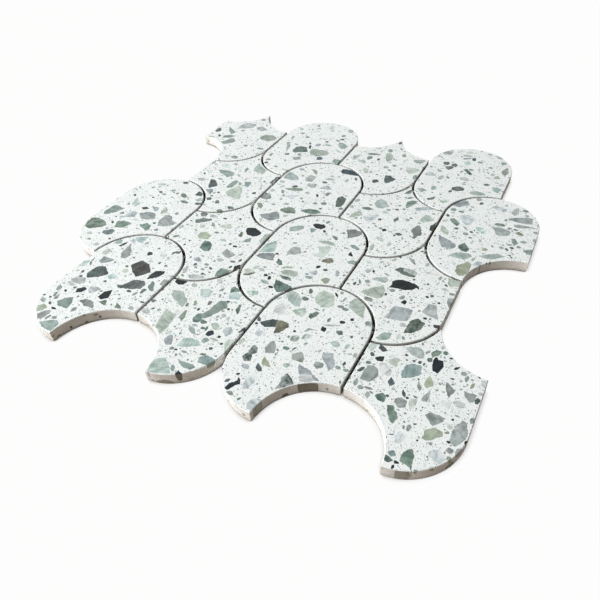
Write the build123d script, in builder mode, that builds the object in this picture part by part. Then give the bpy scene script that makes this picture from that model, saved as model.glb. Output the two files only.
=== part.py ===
"""Terrazzo mosaic sheet: interlocking chips of two shapes, glued face up on a laid glass-fibre net.

Millimetres. The origin is the middle of the sheet on the underside of the net, +X runs along the
rows, +Y from the tails of the chips towards their domes, and +Z points out of the honed face.
"""

import os

from build123d import *

# Module of the pattern, measured on the centre lines of the joints
scale_radius = 36.0
flank_length = 40.0
joint_width = 2.0
rows = 4
columns = 4

# Chips sawn from a terrazzo slab
chip_thickness = 7.5
arris = 0.3
point_radius = 0.4

# Backing net, laid in two layers of flat strands and cut back from the interlocking edges
strand_pitch = 5.0
strand_width = 1.0
strand_thickness = 0.25
net_margin = 3.0

# Sizes that follow from these
half_joint = joint_width / 2
convex_radius = scale_radius - half_joint
concave_radius = scale_radius + half_joint
row_pitch = scale_radius + flank_length
column_pitch = 2 * scale_radius
net_thickness = 2 * strand_thickness
first_column_x = -(2 * columns - 3) * scale_radius / 2
first_row_y = (flank_length - (rows - 1) * row_pitch) / 2

# Domed chip: a straight-sided oval with one quarter of its tail scooped out, where it sits over
# the dome of the chip in front. The dome's centre is the sketch's origin.
tail_notch_x = scale_radius
with BuildSketch() as domed_outline:
    with Locations((0, -flank_length / 2)):
        SlotCenterToCenter(flank_length, 2 * convex_radius, rotation=90)
    with Locations((tail_notch_x, -row_pitch)):
        Circle(concave_radius, mode=Mode.SUBTRACT)

# Peaked chip: it fills what the domed chips leave, so its tail is scooped out on the other side
# and its head is drawn up to a blunted point between the tails of two chips behind it.
head_notches = [(-scale_radius, scale_radius), (scale_radius, scale_radius)]
with BuildSketch() as peaked_outline:
    with Locations((0, (scale_radius - flank_length) / 2)):
        Rectangle(2 * convex_radius, row_pitch)
    with Locations((0, -flank_length)):
        Circle(convex_radius)
    with Locations(*head_notches, (-tail_notch_x, -row_pitch)):
        Circle(concave_radius, mode=Mode.SUBTRACT)
    fillet(peaked_outline.vertices().sort_by(Axis.Y)[-1], point_radius)

outlines = {"domed": domed_outline.sketch, "peaked": peaked_outline.sketch}

os.makedirs("parts", exist_ok=True)

# Chips: each row steps half a chip to the left or back again, and the shapes alternate along it.
for row in range(rows):
    for column in range(columns):
        shape = "domed" if (column + row // 2) % 2 == 0 else "peaked"
        centre_x = first_column_x + column * column_pitch - (row % 2) * scale_radius
        centre_y = first_row_y + row * row_pitch
        with BuildPart() as chip:
            with BuildSketch(Plane((centre_x, centre_y, net_thickness))):
                add(outlines[shape])
            extrude(amount=chip_thickness)
            chamfer(chip.faces().sort_by(Axis.Z)[-1].edges(), arris)
        chip.part.label = f"{shape}_chip_{row + 1}_{column + 1}"
        export_step(chip.part, f"parts/{chip.part.label}.step")

# Backing net: a rectangle that stays behind the deepest notch of every edge.
net_left = first_column_x - convex_radius + net_margin
net_right = first_column_x + (2 * columns - 3) * scale_radius + convex_radius - net_margin
net_front = first_row_y - flank_length + half_joint + net_margin
net_back = first_row_y + (rows - 1) * row_pitch - half_joint - net_margin
net_width = net_right - net_left
net_length = net_back - net_front
net_centre = ((net_left + net_right) / 2, (net_front + net_back) / 2)

with BuildPart() as long_strands:
    with BuildSketch(Plane((*net_centre, 0))):
        with GridLocations(strand_pitch, 1, int(net_width // strand_pitch), 1):
            Rectangle(strand_width, net_length)
    extrude(amount=strand_thickness)
long_strands.part.label = "net_long_strands"
export_step(long_strands.part, "parts/net_long_strands.step")

with BuildPart() as cross_strands:
    with BuildSketch(Plane((*net_centre, strand_thickness))):
        with GridLocations(1, strand_pitch, 1, int(net_length // strand_pitch)):
            Rectangle(net_width, strand_width)
    extrude(amount=strand_thickness)
cross_strands.part.label = "net_cross_strands"
export_step(cross_strands.part, "parts/net_cross_strands.step")
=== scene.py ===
"""Looks of a terrazzo mosaic sheet: honed white chips full of crushed stone, glued on a glass net.

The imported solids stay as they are. Each chip is the white cement body, and a bed of stones is laid
into its honed face and its sawn edges. Plan sizes are millimetres from the middle of a chip's dome.
"""

from __future__ import annotations

import logging
import math
import random
from dataclasses import dataclass, field
from enum import Enum
from typing import Any

import bpy
import numpy as np
from mathutils import Euler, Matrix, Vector


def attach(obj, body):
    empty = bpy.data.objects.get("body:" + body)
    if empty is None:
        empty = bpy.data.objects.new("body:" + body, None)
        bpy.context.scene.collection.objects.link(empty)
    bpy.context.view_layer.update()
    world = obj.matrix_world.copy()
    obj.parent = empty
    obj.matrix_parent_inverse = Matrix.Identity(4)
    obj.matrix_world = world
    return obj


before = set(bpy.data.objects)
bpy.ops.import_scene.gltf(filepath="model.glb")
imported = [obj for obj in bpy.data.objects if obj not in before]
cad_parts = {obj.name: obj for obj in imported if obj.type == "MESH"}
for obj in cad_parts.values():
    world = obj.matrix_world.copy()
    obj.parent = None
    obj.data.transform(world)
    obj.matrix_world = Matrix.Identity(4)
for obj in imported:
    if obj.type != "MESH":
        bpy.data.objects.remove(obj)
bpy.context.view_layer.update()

log = logging.getLogger("terrazzo")

MM = 0.001
TINY = 1e-6

# Names of the values that each stone carries for its shader
COLOUR_LAYER = "stone_colour"
SECOND_LAYER = "stone_second"
GRAIN_LAYER = "stone_grain"

# A colour in sRGB from 0 to 255, a colour in linear light with its alpha, three numbers such as a
# place, and a low and a high value
Tint = tuple[int, int, int]
Colour = tuple[float, float, float, float]
Triple = tuple[float, float, float]
Span = tuple[float, float]

WHITE: Colour = (1.0, 1.0, 1.0, 1.0)


@dataclass(frozen=True)
class RockLook:
    """How one kind of crushed stone looks: two colours that mingle in clouds.

    Cloud is how far the second colour comes in, vein how strongly pale veins show.
    """

    colour: Tint
    second: Tint
    cloud: float = 0.5
    vein: float = 0.0


class Rock(Enum):
    """The kinds of crushed stone in the mix."""

    BLACK = RockLook((27, 34, 37), (61, 70, 73), 0.35)
    SLATE = RockLook((67, 78, 78), (115, 125, 125), 0.6)
    DARK_GREEN = RockLook((69, 89, 82), (131, 149, 140), 0.7, 0.15)
    GREEN = RockLook((98, 117, 106), (145, 162, 150), 0.65, 0.15)
    TEAL = RockLook((127, 146, 142), (169, 185, 181), 0.6, 0.10)
    PALE_TEAL = RockLook((160, 179, 176), (207, 219, 217), 0.7)
    SAGE = RockLook((157, 174, 165), (201, 213, 205), 0.6, 0.10)
    PALE_SAGE = RockLook((187, 200, 190), (222, 230, 223), 0.6)
    MINT = RockLook((160, 186, 171), (223, 233, 226), 0.9)
    GREY = RockLook((132, 140, 138), (182, 190, 187), 0.7, 0.10)
    PALE_GREY = RockLook((172, 180, 179), (217, 223, 222), 0.7)
    LAVENDER = RockLook((138, 146, 149), (184, 192, 193), 0.6)
    PALE_LAVENDER = RockLook((165, 175, 177), (211, 218, 219), 0.7)
    OLIVE = RockLook((144, 154, 134), (177, 187, 170), 0.6, 0.10)
    BROWN = RockLook((104, 105, 91), (154, 158, 141), 0.7, 0.10)
    UMBER = RockLook((62, 62, 60), (96, 95, 91), 0.5, 0.08)
    TAUPE = RockLook((130, 137, 131), (167, 174, 168), 0.6)
    QUARTZ = RockLook((204, 213, 214), (238, 243, 244), 0.9)
    MOTTLED = RockLook((63, 83, 76), (207, 216, 210), 1.0, 0.20)


class ChipShape(Enum):
    """The two outlines that interlock."""

    DOMED = "domed"
    PEAKED = "peaked"


@dataclass(frozen=True)
class Stone:
    """A large stone: the x and y of its corners, and its tone, 1 as its kind comes."""

    rock: Rock
    corners: tuple[Span, ...]
    tone: float = 1.0

    def outline(self) -> np.ndarray:
        """Return the corners as an array of x and y."""
        return np.array(self.corners)


@dataclass(frozen=True)
class Pebble:
    """A small stone: its place, its length and width, and the turn of its length in degrees."""

    rock: Rock
    x: float
    y: float
    length: float
    width: float
    turn: float = 0.0
    tone: float = 1.0
    counts: tuple[int, ...] = (5, 5, 6, 6, 7)
    sway: Span = (-0.28, 0.28)
    reach: Span = (0.82, 1.12)

    def outline(self, dice: random.Random) -> np.ndarray:
        """Return angular corners, drawn at random within the length and width."""
        count = dice.choice(self.counts)
        start = dice.uniform(0, math.tau)
        turns = [start + (index + dice.uniform(*self.sway)) * math.tau / count for index in range(count)]
        arms = [dice.uniform(*self.reach) for _ in turns]
        along = np.array([arm * math.cos(turn) for arm, turn in zip(arms, turns)]) * self.length / 2
        across = np.array([arm * math.sin(turn) for arm, turn in zip(arms, turns)]) * self.width / 2
        cosine = math.cos(math.radians(self.turn))
        sine = math.sin(math.radians(self.turn))
        x = self.x + along * cosine - across * sine
        y = self.y + along * sine + across * cosine
        return np.column_stack((x, y))


@dataclass(frozen=True)
class EdgeStone:
    """A stone that shows only in the sawn edge: where it meets the edge, its length and its height."""

    rock: Rock
    x: float
    y: float
    length: float
    low: float
    high: float


def read_stone(row: str) -> Stone | Pebble | EdgeStone:
    """Return the stone that a row of text describes.

    Args:
        row: A stone's kind, with its tone after a star unless that is 1, and its x,y corners. A
            pebble has its x, y, length, width and any turn instead. The row of an edge stone starts
            with the word edge, and has its x, y, length, low and high after its kind.

    Returns:
        The stone.
    """
    first, *values = row.split()
    if first == "edge":
        return EdgeStone(Rock[values[0]], *map(float, values[1:]))
    kind, _, tone = first.partition("*")
    lightness = float(tone or 1)
    if "," not in values[0]:
        return Pebble(Rock[kind], *map(float, values), tone=lightness)
    corners = tuple(tuple(map(float, pair.split(","))) for pair in values)
    return Stone(Rock[kind], corners, lightness)


@dataclass(frozen=True)
class SheetPlan:
    """Sizes of the sheet that the stones and the finishes have to follow.

    The sawn look of an edge sets in at one depth below the face and is full at another.
    """

    radius: float = 36.0
    flank: float = 40.0
    joint: float = 2.0
    rows: int = 4
    columns: int = 4
    underside: float = 0.5
    face: float = 8.0
    arris: float = 0.3
    sawn_from: float = 0.2
    sawn_fully: float = 0.4

    @property
    def convex(self) -> float:
        """Radius of a dome or a tail."""
        return self.radius - self.joint / 2

    @property
    def concave(self) -> float:
        """Radius of a scooped-out corner."""
        return self.radius + self.joint / 2


@dataclass(frozen=True)
class Border:
    """One run of a chip's edge, at an even distance from an upright line in plan.

    A scoop keeps the chip outside that distance, any other border inside it.
    """

    x: float
    low: float
    high: float
    radius: float
    scoop: bool = False

    def _arms(self, points: np.ndarray) -> tuple[np.ndarray, np.ndarray, np.ndarray]:
        """Return each point's foot on the line, its arm from there and the arm's length."""
        foot = np.column_stack((np.full(len(points), self.x), np.clip(points[:, 1], self.low, self.high)))
        arm = points - foot
        return foot, arm, np.linalg.norm(arm, axis=1)

    def outward(self, points: np.ndarray) -> np.ndarray:
        """Return how far each point lies outside the border, negative within the chip."""
        reach = self._arms(points)[2]
        return self.radius - reach if self.scoop else reach - self.radius

    def onto(self, points: np.ndarray, inset: float) -> np.ndarray:
        """Return the points moved square to the border until they lie an inset within it."""
        foot, arm, reach = self._arms(points)
        target = self.radius + inset if self.scoop else self.radius - inset
        return foot + arm * (target / reach)[:, None]

    def cut(self, outline: np.ndarray, inset: float, step: float = 0.8) -> np.ndarray:
        """Cut an outline along the border.

        Args:
            outline: Corners of the outline, in order.
            inset: Distance of the cut within the border.
            step: Spacing of the new corners along the cut.

        Returns:
            The part of the outline within the cut, empty if there is none.
        """
        out = self.outward(outline) + inset
        if np.all(out <= 0):
            return outline
        if np.all(out > 0):
            return np.empty((0, 2))
        first = int(np.argmax(out <= 0))
        outline = np.roll(outline, -first, axis=0)
        out = np.roll(out, -first)
        kept: list[np.ndarray] = []
        leaving = None
        for index in range(len(outline)):
            following = (index + 1) % len(outline)
            here, there = outline[index], outline[following]
            if out[index] <= 0:
                kept.append(here)
            if (out[index] <= 0) == (out[following] <= 0):
                continue
            share = out[index] / (out[index] - out[following])
            crossing = self.onto((here + share * (there - here))[None, :], inset)[0]
            if out[index] <= 0:
                leaving = crossing
            elif leaving is not None:
                pieces = max(1, math.ceil(np.linalg.norm(crossing - leaving) / step))
                shares = np.linspace(0, 1, pieces + 1)[:, None]
                kept.extend(self.onto(leaving + shares * (crossing - leaving), inset))
        return np.array(kept)


@dataclass(frozen=True)
class Chip:
    """One chip of the sheet, by its shape and its place in the rows."""

    shape: ChipShape
    row: int
    column: int
    plan: SheetPlan
    probe: float = 0.05

    @property
    def name(self) -> str:
        """Name of the chip's solid."""
        return f"{self.shape.value}_chip_{self.row}_{self.column}"

    @property
    def centre(self) -> np.ndarray:
        """Middle of the chip's dome in the sheet's frame."""
        plan = self.plan
        first_x = -(2 * plan.columns - 3) * plan.radius / 2
        row_pitch = plan.radius + plan.flank
        first_y = (plan.flank - (plan.rows - 1) * row_pitch) / 2
        x = first_x + (self.column - 1) * 2 * plan.radius - ((self.row - 1) % 2) * plan.radius
        return np.array((x, first_y + (self.row - 1) * row_pitch))

    @property
    def borders(self) -> tuple[Border, ...]:
        """The runs of the chip's edge."""
        plan = self.plan
        tail = -(plan.radius + plan.flank)
        scoops = [(plan.radius, tail)]
        if self.shape is ChipShape.PEAKED:
            scoops = [(-plan.radius, plan.radius), (plan.radius, plan.radius), (-plan.radius, tail)]
        cut_out = tuple(Border(x, y, y, plan.concave, True) for x, y in scoops)
        return Border(0, -plan.flank, 0, plan.convex), *cut_out

    def outward(self, points: np.ndarray) -> np.ndarray:
        """Return how far each point lies outside the chip, negative within it."""
        return np.max([border.outward(points) for border in self.borders], axis=0)

    def cut(self, outline: np.ndarray, inset: float) -> np.ndarray:
        """Return the part of an outline that lies an inset within the chip, or nothing."""
        for border in self.borders:
            if len(outline) < 3:
                return np.empty((0, 2))
            outline = border.cut(outline, inset)
        return outline

    def along(self, points: np.ndarray) -> np.ndarray:
        """Return the direction of the chip's edge where some points lie nearest to it."""
        spot = points[np.argmax(self.outward(points))]
        near = np.array((spot, spot + (self.probe, 0), spot + (0, self.probe)))
        here, east, north = self.outward(near)
        slope = np.array((here - north, east - here))
        return slope / max(float(np.linalg.norm(slope)), TINY)

    def draw_in(self, points: np.ndarray, inset: float) -> np.ndarray:
        """Return the points with those too near the edge moved an inset within it."""
        drawn = points.copy()
        for border in self.borders:
            near = border.outward(drawn) > -inset
            if near.any():
                drawn[near] = border.onto(drawn[near], inset)
        return drawn


class Ground:
    """Marks which spots of a chip's face are taken, on a fine grid."""

    def __init__(self, low: np.ndarray, high: np.ndarray, step: float = 0.25) -> None:
        """Lay an empty grid of square cells, a step wide, between two corners."""
        self.low = low
        self.step = step
        columns, rows = np.ceil((high - low) / step).astype(int)
        self.taken = np.zeros((rows, columns), dtype=bool)

    def _cells(self, outline: np.ndarray) -> tuple[slice, slice, np.ndarray]:
        """Return the window of the grid around an outline and which of its cells are inside."""
        first = np.floor((outline.min(axis=0) - self.low) / self.step).astype(int)
        last = np.ceil((outline.max(axis=0) - self.low) / self.step).astype(int) + 1
        limit = self.taken.shape[::-1]
        first = np.clip(first, 0, limit)
        last = np.clip(last, 0, limit)
        x = self.low[0] + (np.arange(first[0], last[0]) + 0.5) * self.step
        y = self.low[1] + (np.arange(first[1], last[1]) + 0.5) * self.step
        inside = np.zeros((len(y), len(x)), dtype=bool)
        for a, b in zip(outline, np.roll(outline, -1, axis=0)):
            spans = (a[1] > y) != (b[1] > y)
            rise = b[1] - a[1] if b[1] != a[1] else TINY
            reach = a[0] + (y - a[1]) * (b[0] - a[0]) / rise
            inside ^= spans[:, None] & (x[None, :] < reach[:, None])
        return slice(first[1], last[1]), slice(first[0], last[0]), inside

    def is_free(self, outline: np.ndarray) -> bool:
        """Tell whether no cell under the outline is taken."""
        rows, columns, inside = self._cells(outline)
        return not np.any(self.taken[rows, columns] & inside)

    def take(self, outline: np.ndarray) -> None:
        """Mark the cells under the outline."""
        rows, columns, inside = self._cells(outline)
        self.taken[rows, columns] |= inside


def area_of(outline: np.ndarray) -> float:
    """Return the signed area of an outline, positive if it runs anticlockwise."""
    following = np.roll(outline, -1, axis=0)
    return float(np.sum(outline[:, 0] * following[:, 1] - following[:, 0] * outline[:, 1]) / 2)


def anticlockwise(outline: np.ndarray) -> np.ndarray:
    """Return an outline with its corners in anticlockwise order."""
    return outline[::-1] if area_of(outline) < 0 else outline


def spread(outline: np.ndarray, gap: float) -> np.ndarray:
    """Return an outline grown away from its middle by a gap."""
    arm = outline - outline.mean(axis=0)
    reach = np.maximum(np.linalg.norm(arm, axis=1), TINY)
    return outline + arm * (gap / reach)[:, None]


@dataclass(frozen=True)
class Breakage:
    """How crushing breaks the straight sides of a stone: sizes in millimetres, or shares of a side."""

    step: float = 1.1
    least_side: float = 0.05
    blunt_share: float = 0.10
    blunt_length: float = 0.30
    bow: Span = (-0.03, 0.04)
    flake_share: float = 0.035
    flake_most: float = 0.19

    def crush(self, corners: np.ndarray, dice: random.Random) -> np.ndarray:
        """Give a straight-sided outline the blunt corners and uneven breaks of crushed stone.

        Args:
            corners: Corners of the outline, in order.
            dice: Source of the unevenness.

        Returns:
            The corners of the broken outline.
        """
        broken: list[np.ndarray] = []
        for a, b in zip(corners, np.roll(corners, -1, axis=0)):
            side = b - a
            length = float(np.linalg.norm(side))
            if length < self.least_side:
                continue
            square = np.array((-side[1], side[0])) / length
            blunt = min(self.blunt_share, self.blunt_length / length)
            pieces = max(1, round(length / self.step))
            bow = dice.uniform(*self.bow) * length
            for share in np.linspace(blunt, 1 - blunt, pieces + 1):
                swell = -bow * 4 * share * (1 - share)
                flake = dice.gauss(0, min(self.flake_most, self.flake_share * length))
                broken.append(a + share * side + square * (swell + flake))
        return np.array(broken)


@dataclass(frozen=True)
class Taper:
    """How a sawn stone tapers along the edge: where it turns, and how tall it is there, as shares."""

    first_turn: Span = (0.12, 0.30)
    middle: Span = (0.40, 0.60)
    last_turn: Span = (0.70, 0.88)
    shoulder: Span = (0.6, 1)
    end: Span = (0, 0.4)

    def heights(self, outline: np.ndarray, along: np.ndarray, dice: random.Random) -> np.ndarray:
        """Return how tall a sawn stone is at each corner: 1 near its middle, little at its ends.

        Args:
            outline: Corners of the stone in plan.
            along: Direction of the sawn edge.
            dice: Source of the unevenness.

        Returns:
            The share of the full height at each corner.
        """
        spots = outline @ along
        spots = (spots - spots.min()) / max(float(np.ptp(spots)), TINY)
        inner = [dice.uniform(*span) for span in (self.first_turn, self.middle, self.last_turn)]
        rising = [dice.uniform(*span) for span in (self.end, self.shoulder)]
        falling = [dice.uniform(*span) for span in (self.shoulder, self.end)]
        return np.interp(spots, (0, *inner, 1), (*rising, 1, *falling))


def linear(value: float) -> float:
    """Return the linear light of an sRGB value from 0 to 255, by the standard's own curve."""
    share = value / 255
    return share / 12.92 if share <= 0.04045 else ((share + 0.055) / 1.055) ** 2.4


def paint(red: float, green: float, blue: float) -> Colour:
    """Return a shader colour from sRGB values from 0 to 255."""
    return linear(red), linear(green), linear(blue), 1.0


class StoneMesh:
    """Collects closed prisms with their colours and turns them into one mesh."""

    def __init__(self) -> None:
        """Start with no prisms."""
        self.points: list[Triple] = []
        self.faces: list[list[int]] = []
        self.colours: list[Colour] = []
        self.seconds: list[Colour] = []
        self.grains: list[Triple] = []

    def add(
        self,
        rings: list[tuple[np.ndarray, np.ndarray | float]],
        colours: tuple[Colour, ...],
        grain: Triple,
    ) -> None:
        """Add one closed prism.

        Args:
            rings: Anticlockwise outlines with their heights, from the lowest to the highest.
            colours: Its two linear colours.
            grain: Offset of its pattern, its cloudiness and its veining.
        """
        start = len(self.points)
        count = len(rings[0][0])
        for outline, height in rings:
            heights = np.broadcast_to(height, count)
            self.points.extend((x * MM, y * MM, z * MM) for (x, y), z in zip(outline, heights))
        total = count * len(rings)
        self.colours.extend([colours[0]] * total)
        self.seconds.extend([colours[1]] * total)
        self.grains.extend([grain] * total)
        self.faces.append([start + index for index in reversed(range(count))])
        for ring in range(len(rings) - 1):
            base = start + ring * count
            for index in range(count):
                following = (index + 1) % count
                self.faces.append(
                    [base + index, base + following, base + count + following, base + count + index]
                )
        self.faces.append([start + total - count + index for index in range(count)])

    def build(self, name: str) -> bpy.types.Object:
        """Return the prisms as one object at the origin."""
        mesh = bpy.data.meshes.new(name)
        mesh.from_pydata(self.points, [], self.faces)
        for layer_name, values in ((COLOUR_LAYER, self.colours), (SECOND_LAYER, self.seconds)):
            layer = mesh.attributes.new(layer_name, "FLOAT_COLOR", "POINT")
            layer.data.foreach_set("color", np.array(values, dtype=np.float32).ravel())
        grain = mesh.attributes.new(GRAIN_LAYER, "FLOAT_VECTOR", "POINT")
        grain.data.foreach_set("vector", np.array(self.grains, dtype=np.float32).ravel())
        mesh.update()
        piece = bpy.data.objects.new(name, mesh)
        bpy.context.scene.collection.objects.link(piece)
        return piece


@dataclass(frozen=True)
class Grade:
    """One grade of the random filling: how many, how long, the gap round each, and the kinds."""

    count: int
    least: float
    most: float
    gap: float
    rocks: tuple[Rock, ...]


COARSE_ROCKS = (
    Rock.PALE_TEAL, Rock.PALE_SAGE, Rock.PALE_GREY, Rock.QUARTZ, Rock.SAGE, Rock.GREY, Rock.PALE_LAVENDER,
    Rock.TEAL, Rock.QUARTZ, Rock.QUARTZ,
)
MIDDLE_ROCKS = (
    Rock.GREY, Rock.SLATE, Rock.TEAL, Rock.SAGE, Rock.PALE_GREY, Rock.GREEN, Rock.PALE_TEAL, Rock.DARK_GREEN,
    Rock.TAUPE, Rock.GREY, Rock.SLATE,
)
FINE_ROCKS = (
    Rock.SLATE, Rock.BLACK, Rock.SLATE, Rock.GREY, Rock.TAUPE, Rock.DARK_GREEN, Rock.UMBER, Rock.GREY,
    Rock.GREY, Rock.TEAL,
)
GRIT_ROCKS = (
    Rock.GREY, Rock.SLATE, Rock.TAUPE, Rock.PALE_GREY, Rock.GREY, Rock.TAUPE, Rock.SLATE, Rock.PALE_GREY,
)

FILLING = (
    Grade(18, 2.2, 4.4, 0.5, COARSE_ROCKS),
    Grade(64, 1.3, 3.2, 0.3, MIDDLE_ROCKS),
    Grade(100, 0.7, 1.5, 0.2, FINE_ROCKS),
    Grade(280, 0.4, 0.9, 0.1, GRIT_ROCKS),
)


@dataclass
class StoneBed:
    """The crushed stones of one chip, laid into its honed face and its sawn edges.

    The stones stand a hair proud of the cement, so that they never share its surface, and each
    listed stone stands one step higher than the one before, so that no two share theirs.
    Bedding is how deep a stone within the face reaches. Swell is how much the listed outlines are
    grown, and room is the gap that the filling keeps from them.
    """

    chip: Chip
    stones: tuple[Stone | Pebble | EdgeStone, ...]

    # The face
    face_proud: float = 0.03
    face_step: float = 0.0004
    bedding: float = 0.3
    swell: float = 0.42
    room: float = 0.25
    margin: float = 2.0
    least_area: float = 0.06

    # The sawn edge and the arris
    edge_proud: float = 0.045
    arris_clearance: float = 0.05
    arris_tuck: float = 0.015
    arris_lift: float = 0.012
    underside_clearance: float = 0.02
    thinnest: float = 0.1
    lowest_top: float = 0.3
    least_depth: float = 1.5
    depth_by_slab: float = 1.4
    depth_by_length: float = 1.2

    # Chance
    first_seed: int = 1000
    tones: Span = (0.97, 1.03)
    warmths: Span = (-3, 3)
    offsets: Span = (0, 50)
    brightest: int = 250
    tries: int = 6
    size_bias: float = 1.6
    slimness: Span = (0.32, 0.9)
    overhang: float = 0.2
    edge_count: int = 14
    edge_lengths: Span = (1.0, 4.0)
    edge_lowest: float = -0.5
    edge_highest_share: float = 0.8
    edge_talls: Span = (0.6, 2.4)

    breakage: Breakage = field(default_factory=Breakage)
    taper: Taper = field(default_factory=Taper)
    mesh: StoneMesh = field(default_factory=StoneMesh)

    def __post_init__(self) -> None:
        """Seed the dice by the chip's place and lay out its empty face."""
        self.dice = random.Random(self.first_seed + 10 * self.chip.row + self.chip.column)
        reach = self.chip.plan.convex + self.margin
        tail = self.chip.plan.flank + reach
        self.ground = Ground(np.array((-reach, -tail)), np.array((reach, reach)))

    def colours_of(self, rock: Rock, tone: float) -> tuple[Colour, ...]:
        """Return a stone's own two colours: its kind's colours, a little lighter or darker."""
        level = tone * self.dice.uniform(*self.tones)
        warmth = self.dice.uniform(*self.warmths)
        tints = (warmth, 0.0, -warmth)
        both = (rock.value.colour, rock.value.second)
        levels = ([min(self.brightest, c * level + t) for c, t in zip(colour, tints)] for colour in both)
        return tuple(paint(*values) for values in levels)

    def grain_of(self, rock: Rock) -> Triple:
        """Return a stone's pattern: an offset of its own, its cloudiness and its veining."""
        return self.dice.uniform(*self.offsets), rock.value.cloud, rock.value.vein

    def cut_at_edge(self, outline: np.ndarray) -> np.ndarray | None:
        """Return the part of an outline within the sawn edge, or None if that is too small."""
        cut = self.chip.cut(outline, -self.edge_proud)
        return None if len(cut) < 3 or area_of(cut) < self.least_area else cut

    def lay(self, outline: np.ndarray, rock: Rock, tone: float = 1.0, lift: float = 0.0) -> None:
        """Set one stone into the face, and into the edge where it crosses that.

        Args:
            outline: Its broken outline, from the middle of the chip's dome.
            rock: Its kind.
            tone: How much lighter or darker it is than its kind.
            lift: How much higher it stands than the others.
        """
        outline = anticlockwise(outline)
        plan = self.chip.plan
        colours = self.colours_of(rock, tone)
        grain = self.grain_of(rock)
        reach = float(np.ptp(outline, axis=0).max())
        deepest = self.depth_by_slab * (plan.face - plan.underside)
        depth = min(self.dice.uniform(self.least_depth, deepest), self.depth_by_length * reach)
        top = plan.face + self.face_proud + lift
        shift = self.chip.centre
        if np.max(self.chip.outward(outline)) < -plan.arris - self.arris_clearance:
            rings = [(outline + shift, plan.face - self.bedding), (outline + shift, top)]
            self.mesh.add(rings, colours, grain)
            return
        cut = self.cut_at_edge(outline)
        if cut is None:
            return
        drawn = self.chip.draw_in(cut, plan.arris - self.arris_tuck)
        if area_of(drawn) < self.least_area:
            return
        shoulder = plan.face - plan.arris + self.arris_lift
        deep = depth * self.taper.heights(cut, self.chip.along(cut), self.dice)
        low = np.clip(plan.face - deep, plan.underside + self.underside_clearance, shoulder - self.thinnest)
        rings = [(cut + shift, low), (cut + shift, shoulder), (drawn + shift, top)]
        self.mesh.add(rings, colours, grain)

    def lay_edge(self, stone: EdgeStone) -> None:
        """Set a stone into the sawn edge, with its top below the arris."""
        pebble = Pebble(stone.rock, stone.x, stone.y, stone.length, stone.length)
        outline = self.breakage.crush(pebble.outline(self.dice), self.dice)
        cut = self.cut_at_edge(anticlockwise(outline))
        if cut is None:
            return
        plan = self.chip.plan
        floor = plan.underside + self.underside_clearance
        roof = plan.face - plan.arris - self.arris_clearance
        middle = plan.underside + (stone.low + stone.high) / 2
        half = (stone.high - stone.low) / 2
        along = self.chip.along(cut)
        below = half * self.taper.heights(cut, along, self.dice)
        low = np.clip(middle - below, floor, roof - self.lowest_top)
        above = half * self.taper.heights(cut, along, self.dice)
        high = np.clip(middle + above, low + self.thinnest, roof)
        rings = [(cut + self.chip.centre, low), (cut + self.chip.centre, high)]
        self.mesh.add(rings, self.colours_of(stone.rock, 1.0), self.grain_of(stone.rock))

    def lay_large(self) -> None:
        """Lay the listed stones."""
        for index, stone in enumerate(self.stones):
            if isinstance(stone, EdgeStone):
                self.lay_edge(stone)
                continue
            corners = stone.outline() if isinstance(stone, Stone) else stone.outline(self.dice)
            outline = spread(self.breakage.crush(corners, self.dice), self.swell)
            self.ground.take(spread(outline, self.room))
            self.lay(outline, stone.rock, stone.tone, self.face_step * index)

    def lay_filling(self) -> None:
        """Strew the smaller grades where there is room."""
        low = self.ground.low
        high = low + np.array(self.ground.taken.shape[::-1]) * self.ground.step
        for grade in FILLING:
            laid = 0
            for _ in range(self.tries * grade.count):
                if laid == grade.count:
                    break
                length = grade.least + (grade.most - grade.least) * self.dice.random() ** self.size_bias
                width = length * self.dice.uniform(*self.slimness)
                x = self.dice.uniform(low[0], high[0])
                y = self.dice.uniform(low[1], high[1])
                turn = self.dice.uniform(0, 180)
                rock = self.dice.choice(grade.rocks)
                outline = Pebble(rock, x, y, length, width, turn).outline(self.dice)
                if self.chip.outward(np.array([[x, y]]))[0] > self.overhang * length:
                    continue
                if not self.ground.is_free(spread(outline, grade.gap)):
                    continue
                self.ground.take(outline)
                self.lay(outline, rock)
                laid += 1

    def spot_on_edge(self) -> np.ndarray:
        """Return a random place on the chip's edge, on a tall oval drawn onto the borders."""
        plan = self.chip.plan
        turn = self.dice.uniform(0, math.tau)
        x = math.cos(turn) * plan.convex
        y = math.sin(turn) * 2 * plan.convex - plan.flank / 2
        spot = np.array([[x, y]])
        # Drawing it onto one border can carry it past another, so the borders are gone round twice
        for border in self.chip.borders * 2:
            if border.outward(spot)[0] > 0:
                spot = border.onto(spot, 0)
        return spot[0]

    def lay_edges(self) -> None:
        """Strew stones that only the saw has opened, round the chip's edge."""
        height = self.chip.plan.face - self.chip.plan.underside
        for _ in range(self.edge_count):
            x, y = self.spot_on_edge()
            length = self.dice.uniform(*self.edge_lengths)
            low = self.dice.uniform(self.edge_lowest, self.edge_highest_share * height)
            tall = self.dice.uniform(*self.edge_talls)
            rock = self.dice.choice(MIDDLE_ROCKS)
            self.lay_edge(EdgeStone(rock, x, y, length, low, low + tall))

    def build(self, finish: bpy.types.Material) -> bpy.types.Object:
        """Lay all stones of the chip and dress them.

        Args:
            finish: The stones' material.

        Returns:
            The stones as one piece that rides on the sheet.
        """
        self.lay_large()
        self.lay_filling()
        self.lay_edges()
        piece = self.mesh.build(f"stones_{self.chip.row}_{self.chip.column}")
        piece.data.materials.append(finish)
        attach(piece, "root")
        return piece


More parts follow.
